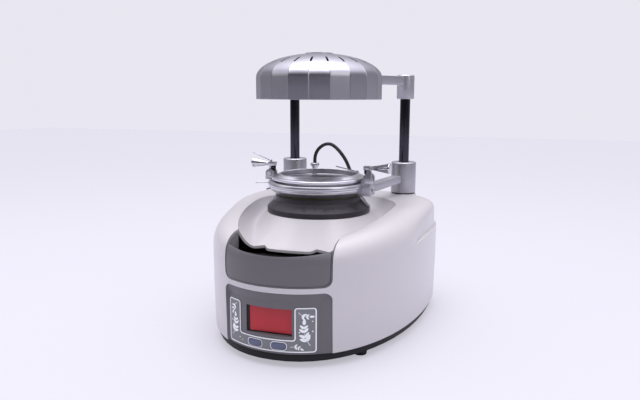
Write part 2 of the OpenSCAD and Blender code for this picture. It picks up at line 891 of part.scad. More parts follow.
function spline(p, t) =
    let (n = len(p) - 1, i = min(n - 1, floor(t)), f = t - i,
         a = p[max(0, i - 1)], b = p[i], c = p[i + 1], d = p[min(n, i + 2)])
    b + f * ((c - a) / 2 + f * ((2 * a - 5 * b + 4 * c - d) / 2 + f * (3 * b - a - 3 * c + d) / 2));

function unit(v) = v / norm(v);

// Tube of radius r along the points, closed by flat ends; side is square to the first run
module tube_along(points, r, sides, side) {
    n = len(points) - 1;
    along = [for (i = [0:n]) unit(points[min(n, i + 1)] - points[max(0, i - 1)])];
    rings = [for (i = [0:n])
        let (u = unit(side - (side * along[i]) * along[i]), v = cross(along[i], u))
        for (k = [0:sides - 1])
            points[i] + r * (u * cos(360 * k / sides) + v * sin(360 * k / sides))];
    polyhedron(
        points = rings,
        faces = concat(
            [for (i = [0:n - 1]) for (k = [0:sides - 1])
                let (k2 = (k + 1) % sides, a = i * sides + k, b = i * sides + k2,
                     c = a + sides, d = b + sides)
                for (f = [[a, c, d], [a, d, b]]) f],
            [[for (k = [0:sides - 1]) k], [for (k = [sides - 1:-1:0]) n * sides + k]]));
}

module sensor_cable() {
    steps = 34;
    n = len(cable_points) - 1;
    inner = [for (i = [0:steps]) spline(cable_points, i * n / steps)];
    color(black) on_axis() tube_along(inner, cable_r, 10, [0, 1, 0]);
}

module cable_gland() {
    nut_z = gland_h - gland_nut_h;
    color([0.5, 0.5, 0.52]) on_axis() translate([gland_pos[0], gland_pos[1], deck_z]) {
        translate([0, 0, -14]) cylinder(h = 14 + eps, r = gland_shank_r);
        cylinder(h = 5, r = 9.5, $fn = 6);
        rotate_extrude() polygon([
            [0, 4], [gland_body_r, 4], [gland_body_r, nut_z - 4], [gland_nut_r - 0.6, nut_z],
            [gland_nut_r - 0.6, gland_h - 0.8], [gland_nut_r - 1.6, gland_h], [0, gland_h]]);
        for (i = [0:7])
            rotate([0, 0, 45 * i]) translate([gland_nut_r - 2, -1, nut_z])
                cube([2, 2, gland_nut_h - 1]);
    }
}

module cable_grommet() {
    color(black) on_axis() translate([grommet_pos[0], grommet_pos[1], deck_z]) rotate_extrude()
        polygon([[0, -8], [grommet_r, -8], [grommet_r, 0], [8, 0], [7.4, 2], [4.5, grommet_h],
            [0, grommet_h]]);
}

flange_t = 1.6;
inlet_rim = 3;
switch_rim = 2;
rear_y = back_reach - 0.1;
socket_depth = 18;
pin_l = 12;

module mains_inlet() {
    color(black) on_axis() translate([inlet_x, rear_y, rear_z]) {
        difference() {
            union() {
                translate([-inlet_w / 2 - inlet_rim, -flange_t, -inlet_h / 2 - inlet_rim])
                    cube([inlet_w + 2 * inlet_rim, flange_t, inlet_h + 2 * inlet_rim]);
                translate([-inlet_w / 2, -26, -inlet_h / 2]) cube([inlet_w, 25, inlet_h]);
            }
            translate([-inlet_w / 2 + 2, -socket_depth, -inlet_h / 2 + 2])
                cube([inlet_w - 4, 20, inlet_h - 4]);
        }
        for (p = [[-7, -2], [0, 2.5], [7, -2]])
            translate([p[0] - 1, -socket_depth - eps, p[1] - 2]) cube([2, pin_l, 4]);
    }
}

rocker_l = 14.4;
rocker_slot_h = 9.6;
rocker_pivot_y = rear_y - 5;
rocker_pin_r = 1.2;
rocker_tilt = 8;

module switch_frame() {
    slot_l = rocker_l + 2 * gap;
    color(black) on_axis() translate([switch_x, 0, rear_z]) difference() {
        union() {
            translate([-switch_w / 2 - switch_rim, rear_y - flange_t, -switch_h / 2 - switch_rim])
                cube([switch_w + 2 * switch_rim, flange_t, switch_h + 2 * switch_rim]);
            translate([-switch_w / 2, rear_y - 20, -switch_h / 2])
                cube([switch_w, 19, switch_h]);
        }
        translate([-slot_l / 2, rear_y - 12, -rocker_slot_h / 2])
            cube([slot_l, 20, rocker_slot_h]);
        translate([-switch_w / 2 + 1, rocker_pivot_y, 0]) rotate([0, 90, 0])
            cylinder(h = switch_w - 2, r = rocker_pin_r + running);
    }
}

module power_rocker() {
    color([0.5, 0.08, 0.08]) on_axis() translate([switch_x, rocker_pivot_y, rear_z])
        rotate([-rocker_tilt, 0, 0]) {
            translate([-rocker_l / 2, 0, 0]) rotate([90, 0, 90]) linear_extrude(rocker_l)
                polygon([[-2, -2], [1, -2.4], [3.4, -4.1], [2.6, 0], [3.4, 4.1], [1, 2.4], [-2, 2]]);
            translate([-rocker_l / 2 - 1, 0, 0]) rotate([0, 90, 0])
                cylinder(h = rocker_l + 2, r = rocker_pin_r);
        }
}

// Carriage

rest_gap = 0.1;
hub_z = deck_z + bumper_h + rest_gap;
bush_r = column_d / 2 + 2.4;
bush_l = 12;
arm_z = holder_z - arm_h - 7;
clevis_half = lever_t / 2 + 0.2;
ear_t = 3.6;
clevis_w = 2 * (clevis_half + ear_t);
clevis_in = pivot_r - 6;
clevis_out = pivot_r + 6;
block_side = clevis_w / 2 + 8;
block_mid = (clevis_w / 2 - block_side) / 2;
block_z = holder_z - 16;
block_screw_z = holder_z - 8;
lug_t = 2.5;
stop_a = 197.8;
stop_z = holder_z - 11.5;
pin_z = holder_z - 3.6;
block_screw_r = 1.6;
clamp_z = holder_z + sheet_gap;
skirt_low = neck_z + seal_t + gap;

// Outer side of the holder ring's section, from the top edge down to the skirt
ring_side = [
    [holder_r - 3, holder_z], [holder_r - 0.9, holder_z - 0.7], [holder_r, holder_z - 2.2],
    [holder_r, holder_z - 5.4], [holder_r - 0.8, holder_z - 6.2], [holder_r - 1.6, holder_z - 6.6],
    [holder_r - 1.6, holder_z - 8.4], [holder_r - 3.2, holder_z - 11],
    [neck_r + 2.6, skirt_low + 1.4]];

// Room that the holder ring takes from what is fixed to its side
module ring_room() {
    low = skirt_low - 10;
    rotate_extrude() polygon(concat([[0, holder_z + 1], [holder_r - 3, holder_z + 1]], ring_side,
        [[neck_r + 2.6, low], [0, low]]));
}

module holder_ring() {
    color(satin) on_axis() difference() {
        union() {
            rotate_extrude() polygon(concat(
                [[opening_r, holder_z - 0.6], [opening_r + 0.6, holder_z]], ring_side,
                [[neck_r + 1.6, skirt_low], [neck_r - 2, skirt_low],
                 [neck_r - 2, skirt_low + 3], [opening_r, skirt_low + 6]]));
            at_clamp(-1) translate([opening_r + 8, -clevis_w / 2, holder_z - lug_t])
                cube([clevis_out - opening_r - 8, clevis_w, lug_t]);
        }
        for (z = [stop_z, pin_z])
            rotate([0, 0, stop_a]) translate([holder_r - 6.4, 0, z]) rotate([0, 90, 0])
                cylinder(h = 20, r = z == pin_z ? wire_r : block_screw_r);
        block_screw_hole();
    }
}

// Bore through the end block into the holder ring
module block_screw_hole() {
    at_clamp(1) translate([clevis_out - block_screw_l, block_mid, block_screw_z])
        rotate([0, 90, 0]) cylinder(h = 40, r = block_screw_r);
}

block_screw_l = 17;

module hub(s) {
    translate([s * column_x, column_y, hub_z]) rotate_extrude() polygon([
        [0, 0], [hub_r - 0.8, 0], [hub_r, 0.8], [hub_r, hub_h - 1.4], [hub_r - 1.4, hub_h],
        [0, hub_h]]);
}

module hub_bore(s) {
    translate([s * column_x, column_y, hub_z - 1]) cylinder(h = hub_h + 2, r = bush_r);
}

// An arm is a cranked bar that meets the holder ring on a foot behind the ring's widest line
module hub_arm(s) {
    foot_y = column_y - hub_r * 0.7;
    color(satin) on_axis() difference() {
        union() {
            hub(s);
            translate([0, 0, arm_z]) linear_extrude(arm_h) polygon([
                for (p = [[column_x + 1, foot_y], [column_x + 1 - arm_w, foot_y],
                    [holder_r - 9, 54], [holder_r - 19, 44], [holder_r - 11, 20],
                    [holder_r - 3, 20], [holder_r + 3, 34], [holder_r + 8, 54]])
                    [s * p[0], p[1]]]);
        }
        hub_bore(s);
        ring_room();
    }
}

module left_hub_arm() {
    hub_arm(-1);
}

module right_hub_arm() {
    hub_arm(1);
}

module hub_bushes() {
    color([0.5, 0.5, 0.5]) on_axis() at_columns()
        for (z = [hub_z, hub_z + hub_h - bush_l])
            translate([0, 0, z]) difference() {
                cylinder(h = bush_l, r = bush_r);
                translate([0, 0, -1]) cylinder(h = bush_l + 2, r = column_d / 2 + running);
            }
}

// Block beside the holder ring that carries the right clevis and the horn
module arm_end_block() {
    inner = holder_r - 8;
    color(satin) on_axis() difference() {
        at_clamp(1) translate([inner, -block_side, block_z])
            cube([clevis_out - inner, block_side + clevis_w / 2, holder_z - block_z]);
        ring_room();
        block_screw_hole();
    }
}

// Screw through the block into the ring, and a stop screw and a pin in the ring's left side
module carriage_screws() {
    color(chrome) on_axis() {
        at_clamp(1) translate([clevis_out, block_mid, block_screw_z]) rotate([0, -90, 0])
            screw(block_screw_r, block_screw_l, 2.9, 1.8);
        rotate([0, 0, stop_a]) translate([holder_r + 0.6, 0, stop_z]) rotate([0, -90, 0])
            screw(block_screw_r, 7, 2.3, 2);
        rotate([0, 0, stop_a]) translate([holder_r - 6.4, 0, pin_z]) rotate([0, 90, 0])
            cylinder(h = 24, r = wire_r);
    }
}

// Clamp ring and its wire

clamp_top = clamp_z + clamp_t;
wire_r = 0.7;
ball_r = 2;

module clamp_ring() {
    color(satin) on_axis() difference() {
        rotate_extrude() polygon([
            [opening_r, clamp_z + 0.5], [opening_r + 0.5, clamp_z], [clamp_r, clamp_z],
            [clamp_r, clamp_top - 0.6], [clamp_r - 1.2, clamp_top + 0.6],
            [clamp_r - 6, clamp_top + 1], [clamp_r - 8.6, clamp_top + 3.4],
            [opening_r + 1, clamp_top + 4.4], [opening_r, clamp_top + 3.6]]);
        ring_wire_shape();
    }
}

// Wire that stands on the ring's crest, with a ball at its bend
module ring_wire_shape() {
    foot_r = clamp_r - 4.6;
    crest_r = clamp_r - 9.8;
    a = [crest_r * cos(26.6), crest_r * sin(26.6), clamp_top + ball_r + 3.2];
    translate(a) sphere(r = ball_r);
    rod(a, a + [-32, 3, 6], wire_r);
    rod(a, [foot_r * cos(11.7), foot_r * sin(11.7), clamp_top + 0.4], wire_r);
}

module ring_wire() {
    color(chrome) on_axis() ring_wire_shape();
}

module rod(a, b, r) {
    d = b - a;
    translate(a) rotate([0, acos(d[2] / norm(d)), atan2(d[1], d[0])])
        cylinder(h = norm(d), r = r, $fn = 16);
}

// Clamp levers: each is drawn in its own frame, with X outwards from the forming axis

ear_r = 6;
clevis_floor = 2;
head_z = pivot_z + 13;
head_h = 5;
head_in = clamp_r + 1;
head_out = pivot_r + 2.9;
head_w = 9;
stem_in = head_in + 2 * nose_r + 0.4;
nose_l = 6;
lever_boss_r = pivot_z - holder_z - clevis_floor - rest_gap - gap;
lever_bore = pivot_d / 2 + running;

module at_clamp(s) {
    rotate([0, 0, clamp_turn + (s < 0 ? 180 : 0)]) children();
}

module across(r, z, l, rad) {
    translate([r, l / 2, z]) rotate([90, 0, 0]) cylinder(h = l, r = rad);
}

module clevis(s) {
    length = clevis_out - clevis_in;
    color(satin) on_axis() at_clamp(s) difference() {
        union() {
            translate([clevis_in, -clevis_w / 2, holder_z]) cube([length, clevis_w, clevis_floor]);
            for (y = [-clevis_w / 2, clevis_half])
                translate([clevis_in, y, holder_z]) cube([length, ear_t, pivot_z - holder_z]);
            across(pivot_r, pivot_z, clevis_w, ear_r);
        }
        translate([clevis_in - 1, -clevis_half, holder_z + clevis_floor + rest_gap])
            cube([length + 2, 2 * clevis_half, 30]);
        across(pivot_r, pivot_z, 40, pivot_d / 2);
    }
}

module left_clevis() {
    clevis(-1);
}

module right_clevis() {
    clevis(1);
}

module pivot_pins() {
    half = clevis_w / 2;
    color(chrome) on_axis() for (s = [-1, 1]) at_clamp(s) {
        across(pivot_r, pivot_z, clevis_w + 1, pivot_d / 2);
        for (y = [-half - 1, half])
            translate([pivot_r, y + 1, pivot_z]) rotate([90, 0, 0])
                cylinder(h = 1, r = pivot_d / 2 + 0.8);
    }
}

module ring_horn() {
    base = clamp_r + 1.4;
    color(satin) on_axis() at_clamp(1)
        translate([0, 2.4 - block_side, holder_z]) rotate([90, 0, 0]) linear_extrude(2.4)
            polygon([[base, 0], [clevis_out, 0], [clevis_out + 3.6, 0.6], [clevis_out + 3.6, 3],
                [clevis_out + 1, 17.5], [clevis_out - 0.6, 19.5], [clevis_out - 2.8, 19.5],
                [clevis_out - 4, 17.6], [base, 3]]);
}

module lever(s) {
    color(chrome) on_axis() at_clamp(s) difference() {
        union() {
            translate([head_in, -head_w / 2, head_z - head_h / 2])
                cube([head_out - head_in, head_w, head_h]);
            translate([stem_in, -lever_t / 2, pivot_z])
                cube([head_out - stem_in, lever_t, head_z - pivot_z]);
            across(pivot_r, pivot_z, lever_t, lever_boss_r);
        }
        across(pivot_r, pivot_z, 40, lever_bore);
    }
}

module left_lever() {
    lever(-1);
}

module right_lever() {
    lever(1);
}

module nose(s) {
    color(black) on_axis() at_clamp(s)
        translate([head_in + nose_r, 0, head_z - head_h / 2 - nose_l]) rotate_extrude() polygon([
            [0, 0], [nose_r - 0.8, 0], [nose_r, 0.8], [nose_r, nose_l], [0, nose_l]]);
}

module left_nose() {
    nose(-1);
}

module right_nose() {
    nose(1);
}

module handle(s) {
    r = handle_d / 2;
    color(chrome) on_axis() at_clamp(s) translate([head_out, 0, head_z])
        rotate([0, 90 - handle_tilt, 0]) rotate_extrude() polygon([
            [0, 0], [2.5, 0], [2.5, 1], [r - 0.6, handle_l - 4], [r, handle_l - 3],
            [r, handle_l - 0.8], [r - 0.8, handle_l], [0, handle_l]]);
}

module left_handle() {
    handle(-1);
}

module right_handle() {
    handle(1);
}

module lever_wire() {
    top = head_z + head_h / 2;
    a = [head_out - 2.3, 0, top + ball_r - 0.5];
    color(chrome) on_axis() at_clamp(-1) difference() {
        union() {
            translate(a) sphere(r = ball_r);
            rod(a, a + [26, 4, 11], wire_r);
        }
        translate([a[0] - 5, -5, top - 5]) cube([10, 10, 5]);
    }
}

// Heater

panel_a = 360 / panels;
hood_segments = 3 * panels;
skirt_top = hood_z + skirt_h;
cap_roof = column_top_z + rest_gap;
cap_z = hood_z;
slot_in = 52;
slot_out = 68;
button_disc_r = 18.4;
heater_dir = atan2(-column_y, -column_x);
heater_arm_z = hood_z + 21;
heater_arm_w = 12;

// Radius of the panelled outline relative to its corners, at an angle
function panel_ratio(a) =
    let (b = (a + 90 + panel_a / 2 + 360) % panel_a - panel_a / 2)
    cos(panel_a / 2) / cos(abs(b) > panel_a / 2 ? panel_a / 2 : b);

function hood_ring(r, z, flat) =
    [for (k = [0:hood_segments - 1])
        let (a = -90 - panel_a / 2 + 360 * k / hood_segments, q = r * mix(1, panel_ratio(a), flat))
        [q * cos(a), q * sin(a), z]];

module hood_shell() {
    ts = [12, 25, 38, 50, 62, 74, 84];
    outer = concat(
        [hood_ring(hood_r, hood_z, 1), hood_ring(hood_r, skirt_top, 1)],
        [for (t = ts) hood_ring(hood_r * cos(t), skirt_top + crown_h * sin(t),
            1 - smooth(between(t, 0, 50)))]);
    inner = concat(
        [for (t = [84, 62, 38, 18]) hood_ring((hood_r - hood_t) * cos(t),
            skirt_top + (crown_h - hood_t) * sin(t), 1 - smooth(between(t, 0, 50)))],
        [hood_ring(hood_r - hood_t, skirt_top, 1), hood_ring(hood_r - hood_t, hood_z, 1)]);
    rings = concat(outer, inner);
    n = hood_segments;
    last = len(rings) - 1;
    top = len(outer) - 1;
    polyhedron(
        points = [for (ring = rings) for (p = ring) p],
        faces = concat(
            [for (j = [0:last]) if (j != top) for (k = [0:n - 1])
                let (j2 = (j + 1) % (last + 1), k2 = (k + 1) % n,
                     a = j * n + k, b = j2 * n + k, c = j2 * n + k2, d = j * n + k2)
                for (f = [[a, b, c], [a, c, d]]) f],
            [[for (k = [n - 1:-1:0]) top * n + k], [for (k = [0:n - 1]) (top + 1) * n + k]]),
        convexity = 6);
}

module heater_hood() {
    color(satin) on_axis() {
        difference() {
            hood_shell();
            for (k = [0:panels - 1])
                rotate([0, 0, -90 - panel_a / 2 + panel_a * k])
                    translate([slot_in, -slot_w / 2, skirt_top])
                        cube([slot_out - slot_in, slot_w, 60]);
        }
        translate([0, 0, skirt_top + crown_h - 1.6]) cylinder(h = 1.9, r = button_disc_r);
    }
}

module heater_arm() {
    reach = norm(column_pos);
    color(satin) on_axis() difference() {
        union() {
            translate([column_x, column_y, cap_z]) rotate_extrude() polygon([
                [0, 0], [cap_r - 1, 0], [cap_r, 1], [cap_r, cap_h - 1.5], [cap_r - 1.5, cap_h],
                [0, cap_h]]);
            translate([column_x, column_y, heater_arm_z]) rotate([0, 0, heater_dir])
                translate([0, -heater_arm_w / 2, 0])
                    cube([reach - hood_r + 10, heater_arm_w, heater_arm_h]);
            translate([column_x, column_y, heater_arm_z - 5]) rotate([0, 0, heater_dir])
                translate([reach - hood_r - 2, -11, 0]) cube([12, 22, heater_arm_h + 4]);
        }
        translate([0, 0, hood_z - 10]) linear_extrude(100)
            polygon([for (k = [0:panels - 1])
                let (a = -90 - panel_a / 2 + panel_a * k) [hood_r * cos(a), hood_r * sin(a)]]);
        translate([column_x, column_y, cap_z - 1]) cylinder(h = cap_roof - cap_z + 1, r = bush_r);
    }
}

module heater_bush() {
    color([0.5, 0.5, 0.5]) on_axis() translate([column_x, column_y, cap_z]) difference() {
        cylinder(h = cap_roof - cap_z - 1, r = bush_r);
        translate([0, 0, -1]) cylinder(h = 40, r = column_d / 2 + running);
    }
}

reflector_z = hood_z + 22;
element_z = hood_z + 12;
element_r = 3.2;

module heater_reflector() {
    rim = (hood_r - hood_t) * cos(panel_a / 2) - 0.2;
    color([0.8, 0.8, 0.82]) on_axis() {
        rotate_extrude() polygon([
            [0, reflector_z], [rim - 12, reflector_z], [rim - 2, reflector_z - 14],
            [rim, reflector_z - 14], [rim, reflector_z - 12.8], [rim - 1.4, reflector_z - 12.8],
            [rim - 11.4, reflector_z + 1.2], [0, reflector_z + 1.2]]);
        translate([0, 0, reflector_z]) cylinder(h = skirt_top + crown_h - 2.4 - reflector_z, r = 4);
    }
}

module heating_element() {
    turns = 3;
    per_turn = 24;
    n = turns * per_turn;
    path = [for (i = [0:n])
        let (r = mix(14, 60, i / n), a = 360 * i / per_turn)
        [r * cos(a), r * sin(a), element_z]];
    color([0.35, 0.32, 0.32]) on_axis() tube_flat(path, element_r, 6);
}

// Tube along points that lie in one level plane
module tube_flat(points, r, sides) {
    n = len(points) - 1;
    along = [for (i = [0:n]) unit(points[min(n, i + 1)] - points[max(0, i - 1)])];
    polyhedron(
        points = [for (i = [0:n]) for (k = [0:sides - 1])
            let (u = [0, 0, 1], v = cross(along[i], u))
            points[i] + r * (u * cos(360 * k / sides) + v * sin(360 * k / sides))],
        faces = concat(
            [for (i = [0:n - 1]) for (k = [0:sides - 1])
                let (k2 = (k + 1) % sides, a = i * sides + k, b = i * sides + k2,
                     c = a + sides, d = b + sides)
                for (f = [[a, c, d], [a, d, b]]) f],
            [[for (k = [0:sides - 1]) k], [for (k = [sides - 1:-1:0]) n * sides + k]]));
}

module element_clips() {
    color([0.85, 0.83, 0.78]) on_axis() for (i = [0:2])
        rotate([0, 0, 30 + 120 * i]) translate([8, -3.5, element_z + element_r])
            cube([58, 7, reflector_z - element_z - element_r]);
}

main_housing();
pocket_liner();
base_plate();
rubber_feet();
base_screws();
control_fascia();
panel_label();
display_lens();
display_board();
control_board();
board_standoffs();
left_button();
right_button();
drawer_front();
drawer_tray();
drawer_guide();
vacuum_motor();
motor_rotor();
motor_bracket();
motor_mount();
suction_duct();
table_base();
table_seal();
table_platform();
table_catch();
left_column();
right_column();
column_nuts();
column_bumpers();
cable_gland();
sensor_cable();
cable_grommet();
mains_inlet();
switch_frame();
power_rocker();
holder_ring();
left_hub_arm();
right_hub_arm();
hub_bushes();
arm_end_block();
carriage_screws();
left_clevis();
right_clevis();
pivot_pins();
ring_horn();
clamp_ring();
ring_wire();
left_lever();
left_nose();
left_handle();
lever_wire();
right_lever();
right_nose();
right_handle();
heater_hood();
heater_arm();
heater_bush();
heater_reflector();
heating_element();
element_clips();
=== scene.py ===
# %% [markdown]
# A dental vacuum former, dressed around its construction model.
# The construction model holds every piece at its real size and place. This lesson gives each piece
# the surface of the real one, and models anew the moulded and pressed pieces whose soft curves
# the plain solids can only hint at. Lengths are metres, +Z is up and the control panel faces -Y.

# %% Load the construction model
import json
import math

import bpy
from mathutils import Matrix, Vector


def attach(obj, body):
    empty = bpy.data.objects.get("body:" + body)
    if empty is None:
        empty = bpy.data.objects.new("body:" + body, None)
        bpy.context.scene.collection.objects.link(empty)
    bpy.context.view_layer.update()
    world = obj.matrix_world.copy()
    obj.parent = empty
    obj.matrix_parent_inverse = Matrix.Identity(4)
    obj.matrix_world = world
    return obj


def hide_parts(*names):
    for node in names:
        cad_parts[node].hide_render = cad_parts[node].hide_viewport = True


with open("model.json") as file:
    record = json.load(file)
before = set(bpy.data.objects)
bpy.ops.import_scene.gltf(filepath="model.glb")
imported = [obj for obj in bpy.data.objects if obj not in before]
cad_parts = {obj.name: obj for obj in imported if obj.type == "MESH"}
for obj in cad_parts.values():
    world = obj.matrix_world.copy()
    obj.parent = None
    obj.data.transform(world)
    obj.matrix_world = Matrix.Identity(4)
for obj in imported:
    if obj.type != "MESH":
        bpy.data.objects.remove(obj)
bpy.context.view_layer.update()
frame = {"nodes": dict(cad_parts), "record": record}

MM = 0.001

# %% [markdown]
# The camera comes first, because it decides what shows. It stands in front of the machine, a little
# to its right and above it. Its place was worked out from the photograph: the rings and the hood
# are circles, so their flattened outlines tell the height and the distance.

# %% Camera
AXIS_Y = -0.011  # the forming axis in the frame; pieces are drawn round it
CAMERA_TURN = math.radians(17.8)
CAMERA_AIM = math.radians(17.68)
CAMERA_DROP = math.radians(9.56)
CAMERA_ROLL = math.radians(0.19)
CAMERA_REACH = 0.8449
CAMERA_HEIGHT = 0.310
FOCAL_PIXELS, PHOTO_W = 624.5, 640
SENSOR = 36.0

camera_data = bpy.data.cameras.new("camera")
camera_data.sensor_width = SENSOR
camera_data.lens = FOCAL_PIXELS / PHOTO_W * SENSOR
camera = bpy.data.objects.new("camera", camera_data)
bpy.context.scene.collection.objects.link(camera)
camera.location = (CAMERA_REACH * math.sin(CAMERA_TURN),
                   AXIS_Y - CAMERA_REACH * math.cos(CAMERA_TURN), CAMERA_HEIGHT)
camera.rotation_euler = (Matrix.Rotation(CAMERA_AIM, 3, "Z")
                         @ Matrix.Rotation(math.pi / 2 - CAMERA_DROP, 3, "X")
                         @ Matrix.Rotation(CAMERA_ROLL, 3, "Z")).to_euler()
bpy.context.scene.camera = camera
print("camera at", [round(v, 3) for v in camera.location],
      "with a lens of", round(camera_data.lens, 1))

# %% [markdown]
# Blender's operators act on whatever is selected, and a loaded model arrives selected. So each step
# starts by selecting one object alone. A modifier is applied as soon as it is set, so that every
# piece ends as a plain mesh.

# %% Helpers for operators
def only(obj):
    """Selects obj alone and makes it the active object."""
    for other in bpy.context.selected_objects:
        other.select_set(False)
    obj.select_set(True)
    bpy.context.view_layer.objects.active = obj


def apply_modifier(obj, kind, **settings):
    """Adds a modifier with these settings and makes its result the mesh."""
    only(obj)
    modifier = obj.modifiers.new(kind.title(), kind)
    for key, value in settings.items():
        setattr(modifier, key, value)
    bpy.ops.object.modifier_apply(modifier=modifier.name)


def edit(obj, *steps):
    """Runs edit-mode steps on the whole of obj."""
    only(obj)
    bpy.ops.object.mode_set(mode="EDIT")
    bpy.ops.mesh.select_all(action="SELECT")
    for step in steps:
        step()
    bpy.ops.object.mode_set(mode="OBJECT")


def merge(limit=0.02 * MM):
    """Welds points that lie closer together than limit."""
    bpy.ops.mesh.remove_doubles(threshold=limit)


def face_out():
    """Turns every face outwards."""
    bpy.ops.mesh.normals_make_consistent(inside=False)


def smooth(obj, degrees):
    """Shades obj smooth, except across edges sharper than this angle."""
    only(obj)
    bpy.ops.object.shade_smooth_by_angle(angle=math.radians(degrees))


def cut(obj, cutter, solver="EXACT"):
    """Takes the cutter's space out of obj and deletes the cutter."""
    apply_modifier(obj, "BOOLEAN", operation="DIFFERENCE", solver=solver, object=cutter)
    bpy.data.objects.remove(cutter)


# %% [markdown]
# Every finish here is built from the same few nodes. A slow noise drifts between two close shades,
# as moulded or cast surfaces do. A fast noise changes the gloss and raises a fine relief, at the
# size of the real grain. Both read Object coordinates, which are metres on every piece, so one
# number always means the same size.

# %% Helpers for materials
def linear(red, green, blue):
    """Colour from screen values of 0 to 255."""
    return tuple(((v / 255 + 0.055) / 1.055) ** 2.4 if v > 10 else v / 255 / 12.92
                 for v in (red, green, blue)) + (1.0,)


def shaded(colour, factor):
    """The colour made darker or lighter by a factor."""
    return tuple(min(1.0, c * factor) for c in colour[:3]) + (1.0,)


def add(material, kind, **values):
    """Adds a node; a value is a number, a colour or the output that feeds the input."""
    made = material.node_tree.nodes.new(kind)
    for key, value in values.items():
        name = key.replace("_", " ")
        if isinstance(value, bpy.types.NodeSocket):
            material.node_tree.links.new(value, made.inputs[name])
        else:
            made.inputs[name].default_value = value
    return made


def finish(name, colour, roughness, metallic=0.0, drift=0.05, drift_size=0.04,
           grain=0.0004, relief=0.00001, gloss_change=0.05, **sockets):
    """A procedural finish. Sizes are metres; relief is the height of the grain."""
    material = bpy.data.materials.new(name)
    material.use_nodes = True
    shader = material.node_tree.nodes["Principled BSDF"]
    place = add(material, "ShaderNodeTexCoord").outputs["Object"]
    slow = add(material, "ShaderNodeTexNoise", Vector=place, Scale=1 / drift_size, Detail=3.0)
    fast = add(material, "ShaderNodeTexNoise", Vector=place, Scale=1 / grain, Detail=2.0)
    blend = material.node_tree.nodes.new("ShaderNodeMix")
    blend.data_type = "RGBA"
    blend.inputs[6].default_value = shaded(colour, 1 - drift)
    blend.inputs[7].default_value = shaded(colour, 1 + drift)
    gloss = add(material, "ShaderNodeMapRange", Value=fast.outputs["Fac"])
    gloss.inputs["To Min"].default_value = roughness - gloss_change
    gloss.inputs["To Max"].default_value = roughness + gloss_change
    bump = add(material, "ShaderNodeBump", Height=fast.outputs["Fac"], Distance=relief)
    links = material.node_tree.links
    links.new(slow.outputs["Fac"], blend.inputs[0])
    links.new(blend.outputs[2], shader.inputs["Base Color"])
    links.new(gloss.outputs["Result"], shader.inputs["Roughness"])
    links.new(bump.outputs["Normal"], shader.inputs["Normal"])
    shader.inputs["Metallic"].default_value = metallic
    for key, value in sockets.items():
        shader.inputs[key.replace("_", " ")].default_value = value
    return material


# %% [markdown]
# Every material of the record has a finish of its own, and a few pieces have a look apart from
# their material: the hood, the lever handles, the tray and the white ink. The tray's look is
# painted light: it is grey where its plastic is black, so that the drawer's dark mouth reads lighter.
# The housing is pearl plastic with a thin clear coat, the front pieces are a darker satin plastic,
# and the arms and hubs are sprayed silver, which is a metal pigment in lacquer: metallic, but with
# a soft gloss.

